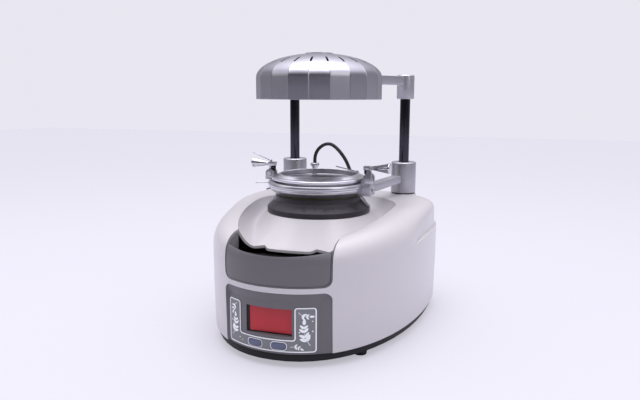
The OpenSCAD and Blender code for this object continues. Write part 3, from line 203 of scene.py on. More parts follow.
# %% Finishes
finishes = {
    "housing": finish("pearl_plastic", linear(201, 197, 200), 0.34, drift=0.02, drift_size=0.08,
                      grain=0.0005, relief=0.000006, gloss_change=0.03,
                      Coat_Weight=0.25, Coat_Roughness=0.18),
    "dark_plastic": finish("dark_satin_plastic", linear(101, 99, 103), 0.42, drift=0.04,
                           grain=0.0004, relief=0.00001),
    "black_plastic": finish("black_plastic", linear(22, 22, 26), 0.5, Specular_IOR_Level=0.3),
    "black_rubber": finish("black_rubber", linear(26, 26, 29), 0.62, grain=0.0006, relief=0.00002),
    "seal_rubber": finish("olive_seal_rubber", linear(62, 62, 30), 0.55, grain=0.0006,
                          relief=0.00002),
    "table_grey": finish("dark_powder_coat", linear(46, 43, 48), 0.42, grain=0.0008,
                         relief=0.00003),
    "satin_aluminium": finish("sprayed_silver", linear(176, 175, 182), 0.36, metallic=0.75,
                              drift=0.03, grain=0.0003, relief=0.000008),
    "hood_silver": finish("hood_silver", linear(176, 175, 183), 0.3, metallic=1.0, drift=0.02,
                          grain=0.0003, relief=0.000008),
    "polished_aluminium": finish("turned_aluminium", linear(208, 208, 214), 0.3, metallic=1.0,
                                 drift=0.03, grain=0.0005, relief=0.000004),
    "cast_aluminium": finish("cast_aluminium", linear(170, 171, 174), 0.5, metallic=0.9,
                             grain=0.0009, relief=0.00004),
    # Painted reflection: the chrome is darkened to stand in for the dim room that the columns
    # reflect, so it reads as dark chrome.
    "chrome": finish("chrome_painted_dark_reflection", linear(68, 68, 76), 0.12, metallic=1.0, drift=0.01,
                     relief=0.000001, gloss_change=0.02),
    "bright_chrome": finish("bright_chrome", linear(206, 207, 212), 0.14, metallic=1.0, drift=0.01,
                            relief=0.000001, gloss_change=0.02),
    # Painted light: the drawer tray is black plastic, painted grey so that light seems to reach into
    # the drawer's dark mouth.
    "tray_painted_light": finish("drawer_tray_painted_light", linear(104, 102, 106), 0.5),
    "steel": finish("zinc_plated_steel", linear(196, 196, 200), 0.3, metallic=1.0),
    "sintered_iron": finish("sintered_iron", linear(128, 128, 130), 0.5, metallic=0.9,
                            relief=0.00003),
    "copper_windings": finish("laminated_rotor", linear(170, 120, 80), 0.45, metallic=0.8),
    "label": finish("label_film", linear(120, 122, 125), 0.38, drift=0.03, grain=0.0003,
                    relief=0.000004),
    "display_red": finish("red_window", linear(184, 24, 38), 0.38, drift=0.02, relief=0.000001,
                          gloss_change=0.02, Coat_Weight=0.1, Coat_Roughness=0.1),
    "button_blue": finish("blue_grey_button", linear(92, 98, 124), 0.35, drift=0.04),
    "circuit_board": finish("circuit_board", linear(40, 96, 58), 0.4, drift=0.2, drift_size=0.006),
    "rocker_red": finish("red_rocker", linear(150, 30, 30), 0.3),
    "element_steel": finish("heat_darkened_sheath", linear(98, 90, 86), 0.45, metallic=0.9,
                            drift=0.2, drift_size=0.02),
    "white_print": finish("white_ink", linear(246, 247, 250), 0.4, drift=0.01),
    "insulator": finish("ceramic_insulator", linear(222, 216, 200), 0.6, relief=0.00003),
}
print(len(finishes), "finishes")

# %% [markdown]
# The construction pieces arrive in plain grey. Each takes the finish of its material in the record,
# so that the pieces inside and at the back look right without being modelled again.

# %% Paint the construction pieces
slot_of = {part["node"]: part["material_slot"] for part in frame["record"]["subparts"]}
for name, node in frame["nodes"].items():
    node.data.materials.clear()
    node.data.materials.append(finishes[slot_of[name]])
print(len(set(slot_of.values())), "materials on", len(slot_of), "construction pieces")

# %% [markdown]
# A new piece takes the place of a construction piece, which is then hidden. It also says which body
# carries it, so that it moves with its joint, and which material of the record it has.

# %% Helper for finished pieces
def replace_piece(obj, body, slot, *nodes, look=None):
    """Gives obj its finish, its body and the construction pieces it stands for."""
    obj.data.materials.clear()
    obj.data.materials.append(finishes[look or slot])
    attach(obj, body)
    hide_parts(*nodes)
    print(obj.name, len(obj.data.polygons), "faces")


# %% [markdown]
# The housing is one moulding, and its soft changes of curve are what the eye reads first. Its plan
# is a superellipse in front of the widest line and a squarer one behind it. At each angle round
# the forming axis a section climbs the side wall, crosses the step, rounds over the shoulder, dips
# through the gully and ends under the table. From here on, lengths are written in millimetres from
# the forming axis, and MM turns them into metres where they go into a mesh.

# %% Housing: plan
HALF_W = 148.5
FRONT_REACH, BACK_REACH, WAIST_Y = 178, 200, 88
FRONT_POWER, REAR_POWER = 2.15, 2.4
GULLY_W, GULLY_Y, GULLY_FRONT, GULLY_BACK = 100, 30, 196, 85


def mix(low, high, t):
    """The value at the share t of the way from low to high."""
    return low + (high - low) * t


def between(value, low, high):
    """How far value is from low to high, from 0 to 1."""
    return max(0.0, min(1.0, (value - low) / (high - low)))


def plan(angle):
    """Point of the housing's outline at a plan angle."""
    x, y = math.cos(angle), math.sin(angle)
    power = 2 / (FRONT_POWER if y < 0 else REAR_POWER)
    reach = FRONT_REACH + WAIST_Y if y < 0 else BACK_REACH - WAIST_Y
    return Vector((HALF_W * math.copysign(abs(x) ** power, x),
                   WAIST_Y + reach * math.copysign(abs(y) ** power, y)))


def gully_edge(u):
    """Distance from the forming axis to the gully's outer edge along the unit vector u."""
    reach = GULLY_BACK if u.y * GULLY_W > GULLY_Y * abs(u.x) else GULLY_FRONT
    a = (u.x / GULLY_W) ** 2 + (u.y / reach) ** 2
    b = -2 * GULLY_Y * u.y / reach ** 2
    c = (GULLY_Y / reach) ** 2 - 1
    return (-b + math.sqrt(b * b - 4 * a * c)) / (2 * a)


print("outline from y", -FRONT_REACH, "to", BACK_REACH, "and", 2 * HALF_W, "mm wide")

# %% [markdown]
# The section is a list of points, from the skirt to the duct. The side wall leans in a little below
# the ledge. The shoulder is a quarter of a superellipse, rounder in front and squarer at the back.
# The gully's floor runs down to the front, where it becomes the lip over the drawer, and the cone
# climbs from it to the table.

# %% Housing: section
SKIRT_Z, WALL_Z, SHOULDER_Z, DECK_Z, RIM_DROP, RIM_POWER = 17, 70, 118, 160, 20, 1.4
WALL_LEAN, LEDGE_RISE, LEDGE_GAP = 1.5, 1.2, 2
SHOULDER_RISE, RISE_FROM_Y, RISE_TO_Y = 5, -55, 40
STEP_DEPTH, STEP_H, STEP_FROM_Y, STEP_TO_Y = 3.8, 11, -38, 12
GULLY_DEPTH, LIP_DEPTH, FLOOR_REACH, GULLY_RUN = 15, 19.5, 122, 22
LIP_Y, TONGUE_FROM_Y, TONGUE_TO_Y = -130, -150, -166
TONGUE_Z, LIP_Z = 127.5, 125.2
FRONT_ROUND, BACK_ROUND, ROUND_TO_Y = 2.3, 4.6, 120
WALL_ROWS, LEDGE_ROWS, SHOULDER_ROWS, GULLY_ROWS, CONE_ROWS = 6, 3, 34, 20, 12
SEAT_R, DUCT_R, TABLE_Z = 72, 60, 154


def eased(t):
    """The share t with a soft start and a soft end."""
    return t * t * (3 - 2 * t)


def fractions(count):
    """Even shares from 0 up to, and without, 1."""
    return [i / count for i in range(count)]


def section(angle):
    """Direction and points (distance from the axis, height) of the outer skin at an angle."""
    point = plan(angle)
    edge = point.length
    u = point / edge
    crest = gully_edge(u)
    crest_y = crest * u.y
    crest_z = DECK_Z - RIM_DROP * (max(0.0, GULLY_Y - crest_y) / GULLY_FRONT) ** RIM_POWER
    run = max(min(GULLY_RUN, 0.55 * (crest - SEAT_R)), crest - FLOOR_REACH)
    floor_z = crest_z - mix(LIP_DEPTH, GULLY_DEPTH, between(crest_y, LIP_Y, GULLY_Y))
    if crest_y < LIP_Y:
        floor_z = mix(LIP_Z, TONGUE_Z, between(crest_y, TONGUE_FROM_Y, TONGUE_TO_Y))
    step_z = SHOULDER_Z + SHOULDER_RISE * between(point.y, RISE_FROM_Y, RISE_TO_Y) ** 0.7
    step_on = eased(between(point.y, STEP_FROM_Y, STEP_TO_Y))
    top_in = edge - 0.05 - STEP_DEPTH * step_on
    ledge_z = step_z + LEDGE_RISE * step_on
    low_z = step_z + LEDGE_GAP + STEP_H * step_on
    power = 2 / mix(FRONT_ROUND, BACK_ROUND, between(point.y, 0, ROUND_TO_Y))
    points = [(edge - WALL_LEAN * (1 - t), mix(SKIRT_Z, WALL_Z, t)) for t in fractions(WALL_ROWS)]
    points += [(edge, mix(WALL_Z, step_z, t)) for t in fractions(WALL_ROWS)]
    points += [(mix(edge, top_in, t), mix(step_z, ledge_z, t)) for t in fractions(LEDGE_ROWS)]
    points += [(top_in, mix(ledge_z, low_z, t)) for t in fractions(LEDGE_ROWS)]
    for t in fractions(SHOULDER_ROWS):
        turn = math.pi / 2 * t
        points.append((mix(crest, top_in, math.cos(turn) ** power),
                       mix(low_z, crest_z, math.sin(turn) ** power)))
    for t in fractions(GULLY_ROWS):
        dip = math.sin(math.pi / 2 * t ** 0.85)
        points.append((crest - run * t, mix(crest_z, floor_z, dip)))
    for t in fractions(CONE_ROWS):
        points.append((mix(crest - run, SEAT_R, t),
                       mix(floor_z, TABLE_Z, t * (0.75 + 0.25 * t))))
    return u, points + [(SEAT_R, TABLE_Z), (DUCT_R, TABLE_Z)]


print("each section has", len(section(0)[1]), "points")

# %% [markdown]
# A flat grid gives the mesh, because every angle has the same number of points: its columns become
# angles and its rows become points of the section. Merging closes the seam where the last column
# meets the first. Solidify then gives the skin the wall of a moulding.

# %% Housing: the shell
HOUSING_COLUMNS, WALL_T = 256, 3


def place(distance, u, z):
    """A point in metres, this far from the forming axis along the unit vector u."""
    return (distance * u.x * MM, distance * u.y * MM + AXIS_Y, z * MM)


def grid(name, columns, rows):
    """A flat grid with this many faces across and up, from -1 to 1 both ways."""
    bpy.ops.mesh.primitive_grid_add(x_subdivisions=columns, y_subdivisions=rows, size=2)
    obj = bpy.context.object
    obj.name = name
    return obj


sections = [section(2 * math.pi * i / HOUSING_COLUMNS) for i in range(HOUSING_COLUMNS)]
last_row = len(sections[0][1]) - 1
housing = grid("housing_shell", HOUSING_COLUMNS, last_row)
for vertex in housing.data.vertices:
    column = round((vertex.co.x + 1) / 2 * HOUSING_COLUMNS) % HOUSING_COLUMNS
    row = round((vertex.co.y + 1) / 2 * last_row)
    u, points = sections[column]
    distance, height = points[row]
    vertex.co = place(distance, u, height)
edit(housing, merge, face_out)
apply_modifier(housing, "SOLIDIFY", thickness=WALL_T * MM, offset=-1, use_even_offset=True)
print(housing.name, len(housing.data.polygons), "faces")

# %% [markdown]
# Openings are cut with Boolean modifiers, and their cutters are plain boxes and cylinders. The
# helpers below make them in place. Where a box needs rounded corners, a Bevel modifier acts only
# on the edges that carry a weight, which are those that run front to back.

# %% Helpers for cutters
def box(name, low, high):
    """Box between two corners in millimetres, measured from the forming axis."""
    bpy.ops.mesh.primitive_cube_add(size=1)
    obj = bpy.context.object
    obj.name = name
    for vertex in obj.data.vertices:
        vertex.co = [mix(low[k], high[k], vertex.co[k] + 0.5) * MM for k in range(3)]
        vertex.co.y += AXIS_Y
    return obj


def cylinder(name, x, y, z0, z1, radius, sides=64):
    """Standing cylinder in millimetres, measured from the forming axis."""
    bpy.ops.mesh.primitive_cylinder_add(vertices=sides, radius=radius * MM, depth=(z1 - z0) * MM)
    obj = bpy.context.object
    obj.name = name
    shift = Vector((x * MM, y * MM + AXIS_Y, (z0 + z1) / 2 * MM))
    for vertex in obj.data.vertices:
        vertex.co += shift
    return obj


def join(first, *others):
    """Makes one object of several."""
    only(first)
    for other in others:
        other.select_set(True)
    bpy.ops.object.join()
    return first


def bevel_along_y(obj, radius):
    """Rounds the edges of obj that run front to back."""
    weight = obj.data.attributes.new("bevel_weight_edge", "FLOAT", "EDGE")
    for edge in obj.data.edges:
        a, b = (obj.data.vertices[i].co for i in edge.vertices)
        weight.data[edge.index].value = 1.0 if abs((a - b).y) > 1 * MM else 0.0
    apply_modifier(obj, "BEVEL", width=radius * MM, segments=8, limit_method="WEIGHT")


# %% [markdown]
# The drawer's mouth is a rounded box, with the cone's lip left standing in it. The lip is level at
# its sides and has a tongue in the middle, which stands forward over the drawer.

# %% Housing: the drawer's mouth
MOUTH_HALF_W, MOUTH_Z, CORNER_R, FRONT_Y = 66.5, 96, 9, -198
LIP_REACH, CORNER_REACH, CORNER_FROM_X, CORNER_TO_X = 112, 117, 50, 66
TONGUE_REACH, TONGUE_HALF_W = 130, 33


def lip_y(x):
    """Front edge of the cone's lip at x."""
    rise = TONGUE_REACH - LIP_REACH
    radius = (TONGUE_HALF_W ** 2 + rise ** 2) / (2 * rise)
    if abs(x) < TONGUE_HALF_W:
        return radius - TONGUE_REACH - math.sqrt(radius ** 2 - x ** 2)
    return -mix(LIP_REACH, CORNER_REACH, between(abs(x), CORNER_FROM_X, CORNER_TO_X))


def lip_body(half_w=72, back_y=-95, top_z=300):
    """Everything behind the lip's edge, as one standing slab."""
    slab = grid("lip_body", 2 * half_w, 1)
    for vertex in slab.data.vertices:
        x = round(vertex.co.x * half_w)
        y = lip_y(x) if vertex.co.y < 0 else back_y
        vertex.co = (x * MM, y * MM + AXIS_Y, 0)
    apply_modifier(slab, "SOLIDIFY", thickness=top_z * MM, offset=1)
    edit(slab, face_out)
    return slab


mouth = box("mouth_cutter", (-MOUTH_HALF_W, FRONT_Y, MOUTH_Z), (MOUTH_HALF_W, -100, 220))
bevel_along_y(mouth, CORNER_R)
cut(mouth, lip_body())
print("the mouth's cutter has", len(mouth.data.polygons), "faces")

# %% [markdown]
# The control panel, the bores in the deck and the windows and vents at the back are one cutter,
# joined from bodies that don't touch each other. The seats of the sockets overlap their windows,
# so they are cut before. The mouth needs the fast solver, because the thickened shell cuts into
# itself in places, and there the exact solver leaves parts standing.

# %% Housing: the openings
PANEL_Z, PANEL_TOP_Z = 7, 90
COLUMN_X, COLUMN_Y, COLUMN_BORE_R = 89.3, 151, 5.05
GLAND_XY, GLAND_BORE_R = (-62, 172), 5
GROMMET_XY, GROMMET_BORE_R = (3, 172), 5.5
BORE_LOW, BORE_HIGH = 100, 200
SOCKETS = ((-30, 28, 20, 3), (6, 19.5, 13, 2))  # middle, width, height and rim of each
SOCKET_Z, SOCKET_SEAT_Y, INSIDE_Y, BEHIND_Y = 45, 198.3, 150, 220
VENTS, VENT_LEFT, VENT_RIGHT, VENT_Z, VENT_H, VENT_PITCH = 6, 29, 71, 34, 3, 7


def deck_bores():
    """The bores for both columns, the cable gland and the grommet."""
    bores = [cylinder("bore", side * COLUMN_X, COLUMN_Y, BORE_LOW, BORE_HIGH, COLUMN_BORE_R)
             for side in (-1, 1)]
    return bores + [cylinder("bore", *GLAND_XY, BORE_LOW, BORE_HIGH, GLAND_BORE_R),
                    cylinder("bore", *GROMMET_XY, BORE_LOW, BORE_HIGH, GROMMET_BORE_R)]


panel = box("panel_cutter", (-MOUTH_HALF_W, FRONT_Y, PANEL_Z), (MOUTH_HALF_W, -120, PANEL_TOP_Z))
bevel_along_y(panel, CORNER_R)
cutters = [panel] + deck_bores()
for x, width, height, rim in SOCKETS:
    half_w, half_h = width / 2, height / 2
    cutters.append(box("window", (x - half_w, INSIDE_Y, SOCKET_Z - half_h),
                       (x + half_w, BEHIND_Y, SOCKET_Z + half_h)))
    cut(housing, box("seat", (x - half_w - rim, SOCKET_SEAT_Y, SOCKET_Z - half_h - rim),
                     (x + half_w + rim, BEHIND_Y, SOCKET_Z + half_h + rim)))
for i in range(VENTS):
    z = VENT_Z + VENT_PITCH * i
    cutters.append(box("vent", (VENT_LEFT, INSIDE_Y, z), (VENT_RIGHT, BEHIND_Y, z + VENT_H)))
cut(housing, mouth, "FAST")
cut(housing, join(*cutters))
smooth(housing, 24)
replace_piece(housing, "root", "housing", "main_housing")

# %% [markdown]
# The columns stand on round bosses of the deck, and the cable's gland and grommet have smaller
# ones. They are cylinders sunk into the rim, with their top edge broken.

# %% Housing: the bosses
COLUMN_BOSS_R, COLUMN_BOSS_H = 20, 18
GLAND_BOSS_R, GROMMET_BOSS_R, SMALL_BOSS_H = 11, 9, 6
bosses = [cylinder("boss", side * COLUMN_X, COLUMN_Y, DECK_Z - COLUMN_BOSS_H, DECK_Z,
                   COLUMN_BOSS_R, 96) for side in (-1, 1)]
bosses.append(cylinder("boss", *GLAND_XY, DECK_Z - SMALL_BOSS_H, DECK_Z, GLAND_BOSS_R))
bosses.append(cylinder("boss", *GROMMET_XY, DECK_Z - SMALL_BOSS_H, DECK_Z, GROMMET_BOSS_R))
deck_bosses = join(*bosses)
deck_bosses.name = "deck_bosses"
cut(deck_bosses, join(*deck_bores()))
apply_modifier(deck_bosses, "BEVEL", width=0.6 * MM, segments=3, limit_method="ANGLE")
smooth(deck_bosses, 35)
replace_piece(deck_bosses, "root", "housing", "main_housing")

# %% [markdown]
# The drawer's front is part of the same skin, so its grid reads the housing's own section. It stops
# at a top edge that sags in the middle. A rounded prism trims its ends: an Intersect Boolean keeps
# only what lies inside.

# %% Drawer front
DRAWER_HALF_W, DRAWER_LOW, DRAWER_CORNER, DRAWER_T = 64, 98.5, 7, 6
DRAWER_MID_Z, DRAWER_END_Z, DRAWER_GAP = 131.8, 135.8, 0.4
DRAWER_COLUMNS, DRAWER_ROWS, DRAWER_HALF_ANGLE = 72, 24, math.radians(29)


def skin_distance(points, z):
    """Distance from the axis at which a section first reaches the height z."""
    for (d0, z0), (d1, z1) in zip(points, points[1:]):
        if z0 <= z <= z1:
            return mix(d0, d1, (z - z0) / (z1 - z0))


def keep_inside(obj, block):
    """Keeps what of obj lies inside the block and deletes the block."""
    apply_modifier(obj, "BOOLEAN", operation="INTERSECT", solver="EXACT", object=block)
    bpy.data.objects.remove(block)


drawer_skin = grid("drawer_front_skin", DRAWER_COLUMNS, DRAWER_ROWS)
for vertex in drawer_skin.data.vertices:
    column = round(vertex.co.x * DRAWER_COLUMNS / 2)
    angle = -math.pi / 2 + DRAWER_HALF_ANGLE * column / (DRAWER_COLUMNS / 2)
    u, points = section(angle)
    x_share = min(1.0, abs(plan(angle).x) / DRAWER_HALF_W)
    top_z = mix(DRAWER_MID_Z, DRAWER_END_Z, x_share ** 2)
    z = mix(DRAWER_LOW - 4, top_z, (vertex.co.y + 1) / 2)
    vertex.co = place(skin_distance(points, z) - DRAWER_GAP, u, z)
apply_modifier(drawer_skin, "SOLIDIFY", thickness=DRAWER_T * MM, offset=-1, use_even_offset=True)
edit(drawer_skin, face_out)
prism = box("drawer_prism", (-DRAWER_HALF_W, FRONT_Y, DRAWER_LOW), (DRAWER_HALF_W, -100, 160))
bevel_along_y(prism, DRAWER_CORNER)
keep_inside(drawer_skin, prism)
apply_modifier(drawer_skin, "BEVEL", width=0.5 * MM, segments=2, limit_method="ANGLE",
               angle_limit=math.radians(50))
smooth(drawer_skin, 30)
replace_piece(drawer_skin, "drawer", "dark_plastic", "drawer_front")

# %% [markdown]
# The hood is spun from the outline of a pressed dome: twenty flat panels round the skirt that melt
# into a smooth crown. A fine ridge runs up each joint between two panels and fades on the dome. A
# grid does it, with ten columns for each panel, close together where the ridge stands.

# %% Heater hood: the shell
HOOD_R, HOOD_Z, SKIRT_H, CROWN_H, HOOD_T, PANELS = 83.2, 304, 28, 32, 1.8, 20
RIDGE_H, RIDGE_SHARES = 0.3, (0, 0.025, 0.05, 0.2, 0.35, 0.5, 0.65, 0.8, 0.95, 0.975)
DOME_STEPS, DOME_TURN, FLAT_UP_TO = 30, 87, 50
panel_angle = 2 * math.pi / PANELS
first_joint = -math.pi / 2 - panel_angle / 2
hood_rows = [(HOOD_R - 0.5, HOOD_Z, 1), (HOOD_R, HOOD_Z + 0.5, 1),
             (HOOD_R, HOOD_Z + SKIRT_H / 2, 1)]
for step in range(DOME_STEPS + 1):
    turn = math.radians(DOME_TURN * step / DOME_STEPS)
    hood_rows.append((HOOD_R * math.cos(turn), HOOD_Z + SKIRT_H + CROWN_H * math.sin(turn),
                      1 - eased(between(math.degrees(turn), 0, FLAT_UP_TO))))
hood_columns = PANELS * len(RIDGE_SHARES)
hood = grid("hood_shell", hood_columns, len(hood_rows) - 1)
for vertex in hood.data.vertices:
    column = round((vertex.co.x + 1) / 2 * hood_columns) % hood_columns
    radius, z, flat = hood_rows[round((vertex.co.y + 1) / 2 * (len(hood_rows) - 1))]
    panel_number, part = divmod(column, len(RIDGE_SHARES))
    share = RIDGE_SHARES[part]
    ratio = math.cos(panel_angle / 2) / math.cos((share - 0.5) * panel_angle)
    reach = radius * mix(1, ratio, flat) + (RIDGE_H * flat if share == 0 else 0)
    angle = first_joint + panel_angle * (panel_number + share)
    vertex.co = (reach * math.cos(angle) * MM, reach * math.sin(angle) * MM + AXIS_Y, z * MM)
edit(hood, merge, face_out)
apply_modifier(hood, "SOLIDIFY", thickness=HOOD_T * MM, offset=-1, use_even_offset=True)
print(hood.name, "has", len(hood.data.polygons), "faces before its slots are cut")

# %% [markdown]
# Each vent slot has round ends. A box cuts its straight part and two cylinders cut its ends, in
# two goes, because bodies that overlap inside one cutter confuse the solver.

# %% Heater hood: slots and disc
SLOT_IN, SLOT_OUT, SLOT_R, SLOT_LOW, SLOT_HIGH = 52, 68, 1.3, 330, 380
DISC_R, DISC_DEPTH, DISC_RISE = 18.4, 1.6, 0.3
bars, ends = [], []
for k in range(PANELS):
    slot_angle = first_joint + panel_angle * k
    bar = box("slot", (SLOT_IN + SLOT_R, -SLOT_R, SLOT_LOW), (SLOT_OUT - SLOT_R, SLOT_R, SLOT_HIGH))
    for vertex in bar.data.vertices:
        turned = Vector((vertex.co.x, vertex.co.y - AXIS_Y, 0))
        turned.rotate(Matrix.Rotation(slot_angle, 3, "Z"))
        vertex.co = (turned.x, turned.y + AXIS_Y, vertex.co.z)
    bars.append(bar)
    for reach in (SLOT_IN + SLOT_R, SLOT_OUT - SLOT_R):
        ends.append(cylinder("slot_end", reach * math.cos(slot_angle), reach * math.sin(slot_angle),
                             SLOT_LOW + 0.5, SLOT_HIGH - 0.5, SLOT_R + 0.001, 24))
cut(hood, join(*bars))
cut(hood, join(*ends))
smooth(hood, 14)
replace_piece(hood, "heater", "satin_aluminium", "heater_hood", look="hood_silver")

crown_z = HOOD_Z + SKIRT_H + CROWN_H
disc = cylinder("hood_disc", 0, 0, crown_z - DISC_DEPTH, crown_z + DISC_RISE, DISC_R, 96)
apply_modifier(disc, "BEVEL", width=0.4 * MM, segments=2, limit_method="ANGLE")
smooth(disc, 35)
replace_piece(disc, "heater", "satin_aluminium", "heater_hood", look="hood_silver")

# %% [markdown]
# The control label is a thin film that follows the panel's curve, cut to a rounded U round the
# display. Its outlines are drawn flat first, as lists of points in x and z.

# %% Control label: outlines
FILM_INSET, FILM_T, INK_T = 4.0, 0.5, 0.12
LABEL_LEFT, LABEL_RIGHT, LABEL_LOW, LABEL_TOP = -61.2, 50.2, 19.5, 73
COLUMN_LEFT, COLUMN_RIGHT, STRIP_TOP = -42.5, 26.5, 34.5
LABEL_CORNER, LINE_CORNER, LINE_INSET, LINE_W = 3.5, 3.2, 0.75, 1.3
BUTTON_X, BUTTON_Z, BUTTON_W, BUTTON_H = (-22, 8), 26.5, 17, 7.5
BUTTON_GAP, RING_MARGIN, RING_W = 0.35, 1.1, 0.7


def front_y(x, inset):
    """The panel's curve: the front outline of the housing, set in by inset."""
    side = (abs(x) / (HALF_W - inset)) ** FRONT_POWER
    return WAIST_Y - (FRONT_REACH + WAIST_Y - inset) * (1 - side) ** (1 / FRONT_POWER)


def rounded(corners, radius, steps=6):
    """Closed outline round the corners, each softened by a small curve."""
    outline = []
    for i, corner in enumerate(corners):
        here = Vector(corner)
        before = (Vector(corners[i - 1]) - here).normalized()
        after = (Vector(corners[(i + 1) % len(corners)]) - here).normalized()
        for step in range(steps + 1):
            t = step / steps
            outline.append(here + radius * (before * (1 - t) ** 2 + after * t ** 2))
    return outline


def label_outline(inset, radius):
    """The U round the display, set in from the film's edge."""
    left, right = LABEL_LEFT + inset, LABEL_RIGHT - inset
    inner_left, inner_right = COLUMN_LEFT - inset, COLUMN_RIGHT + inset
    low, top, strip = LABEL_LOW + inset, LABEL_TOP - inset, STRIP_TOP - inset
    return rounded([(left, low), (right, low), (right, top), (inner_right, top),
                    (inner_right, strip), (inner_left, strip), (inner_left, top), (left, top)],
                   radius)


def button_outline(x, margin):
    """The oval of the button at x, with a margin round it."""
    half_w, half_h = BUTTON_W / 2 + margin, BUTTON_H / 2 + margin
    return rounded([(x - half_w, BUTTON_Z - half_h), (x + half_w, BUTTON_Z - half_h),
                    (x + half_w, BUTTON_Z + half_h), (x - half_w, BUTTON_Z + half_h)],
                   half_h - 0.01, 8)


print("label", round(LABEL_RIGHT - LABEL_LEFT, 1), "by", LABEL_TOP - LABEL_LOW, "mm")

# %% [markdown]
# The film starts as a grid bent to the panel and a little too large. A prism over the U keeps
# what is needed, and two smaller ones punch the button holes.

# %% Control label: the film
def prism_of(outline, y=-150, depth=60):
    """A block over a flat outline, deep enough to trim a film."""
    bpy.ops.mesh.primitive_circle_add(vertices=len(outline), radius=1, fill_type="NGON")
    obj = bpy.context.object
    for vertex, point in zip(obj.data.vertices, outline):
        vertex.co = (point.x * MM, y * MM + AXIS_Y, point.y * MM)
    apply_modifier(obj, "SOLIDIFY", thickness=depth * MM, offset=0)
    edit(obj, face_out)
    return obj


FILM_COLUMNS, FILM_SPARE = 80, 2
film = grid("label_film", FILM_COLUMNS, 1)
for vertex in film.data.vertices:
    x = mix(LABEL_LEFT - FILM_SPARE, LABEL_RIGHT + FILM_SPARE, (vertex.co.x + 1) / 2)
    z = mix(LABEL_LOW - FILM_SPARE, LABEL_TOP + FILM_SPARE, (vertex.co.y + 1) / 2)
    vertex.co = (x * MM, front_y(x, FILM_INSET - FILM_T / 2) * MM + AXIS_Y, z * MM)
apply_modifier(film, "SOLIDIFY", thickness=FILM_T * MM, offset=0)
edit(film, face_out)
keep_inside(film, prism_of(label_outline(0, LABEL_CORNER)))
cut(film, join(*[prism_of(button_outline(x, BUTTON_GAP)) for x in BUTTON_X]))
smooth(film, 30)
replace_piece(film, "root", "label", "panel_label")

# %% [markdown]
# The print is a design of its own: a white line follows the label's edge, a ring marks each
# button, and sprigs of leaves climb the two columns. Every shape is drawn flat and then laid on
# the panel, with the thickness of ink.

# %% Control label: helpers for the print
def lay(obj):
    """Lays a flat drawing on the film and gives it the thickness of ink."""
    for vertex in obj.data.vertices:
        x, z = vertex.co.x, vertex.co.y
        vertex.co = (x * MM, front_y(x, FILM_INSET - FILM_T) * MM + AXIS_Y, z * MM)
    apply_modifier(obj, "SOLIDIFY", thickness=INK_T * MM, offset=0)
    edit(obj, face_out)
    return obj


def dense(outline, closed, spacing=1.5):
    """The same line with points no more than spacing apart."""
    points = []
    ends = outline[1:] + outline[:1] if closed else outline[1:]
    for a, b in zip(outline, ends):
        count = max(1, math.ceil((b - a).length / spacing))
        points += [a.lerp(b, i / count) for i in range(count)]
    return points if closed else points + [outline[-1]]


def ribbon(outline, width, closed=True):
    """A printed line of constant width, narrowing to a point where it is open."""
    points = dense(outline, closed)
    count = len(points)
    span = count if closed else count - 1
    obj = grid("line", span, 1)
    for vertex in obj.data.vertices:
        i = round((vertex.co.x + 1) / 2 * span)
        a = points[(i - 1) % count] if closed else points[max(0, i - 1)]
        b = points[(i + 1) % count] if closed else points[min(count - 1, i + 1)]
        along = (b - a).normalized()
        half = width / 2 * (1 if closed else 1 - 0.7 * i / span)
        side = half if vertex.co.y > 0 else -half
        point = points[i % count] + side * Vector((-along.y, along.x))
        vertex.co = (point.x, point.y, 0)
    edit(obj, lambda: merge(0.0001))
    return lay(obj)


def leaf(foot, angle, length, width):
    """A pointed leaf that starts at its foot and grows along angle."""
    bpy.ops.mesh.primitive_circle_add(vertices=20, radius=1, fill_type="TRIFAN")
    obj = bpy.context.object
    for vertex in obj.data.vertices:
        x, y = vertex.co.x, vertex.co.y
        along = length / 2 * (1 + x)
        across = width / 2 * y * (1 - 0.35 * x)
        vertex.co = (foot[0] + along * math.cos(angle) - across * math.sin(angle),
                     foot[1] + along * math.sin(angle) + across * math.cos(angle), 0)
    return lay(obj)


def sprig(foot, top, bow, pairs, leaf_length, steps=12):
    """A bowed stem with leaves in pairs and one at its tip."""
    start, end = Vector(foot), Vector(top)
    across = Vector((end.y - start.y, start.x - end.x)).normalized() * bow
    stem = [start.lerp(end, i / steps) + across * math.sin(math.pi * i / steps)
            for i in range(steps + 1)]
    pieces = [ribbon(stem, 0.6, closed=False)]
    for i in range(1, pairs + 1):
        at = round(steps * i / (pairs + 0.6))
        along = stem[min(steps, at + 1)] - stem[at - 1]
        heading = math.atan2(along.y, along.x)
        size = leaf_length * (1 - 0.35 * i / pairs)
        for lean in (0.85, -0.85):
            pieces.append(leaf(stem[at], heading + lean, size, size * 0.48))
    tip = stem[-1] - stem[-2]
    pieces.append(leaf(stem[-1], math.atan2(tip.y, tip.x), leaf_length * 0.8, leaf_length * 0.4))
    return pieces


# %% [markdown]
# The edge line comes first, then the rings of the buttons, two sprigs on the left column and three
# on the right, and a few round berries. Joined, they are one piece of ink.

# %% Control label: the print
BERRIES = ((-56.5, 46, 0.8), (-46.6, 47, 0.7), (-57, 61, 0.7), (46, 45, 0.9), (32, 44, 0.8),
           (46, 57, 0.7), (-44, 28, 0.8), (-40, 26, 0.6))  # x, z and radius of each

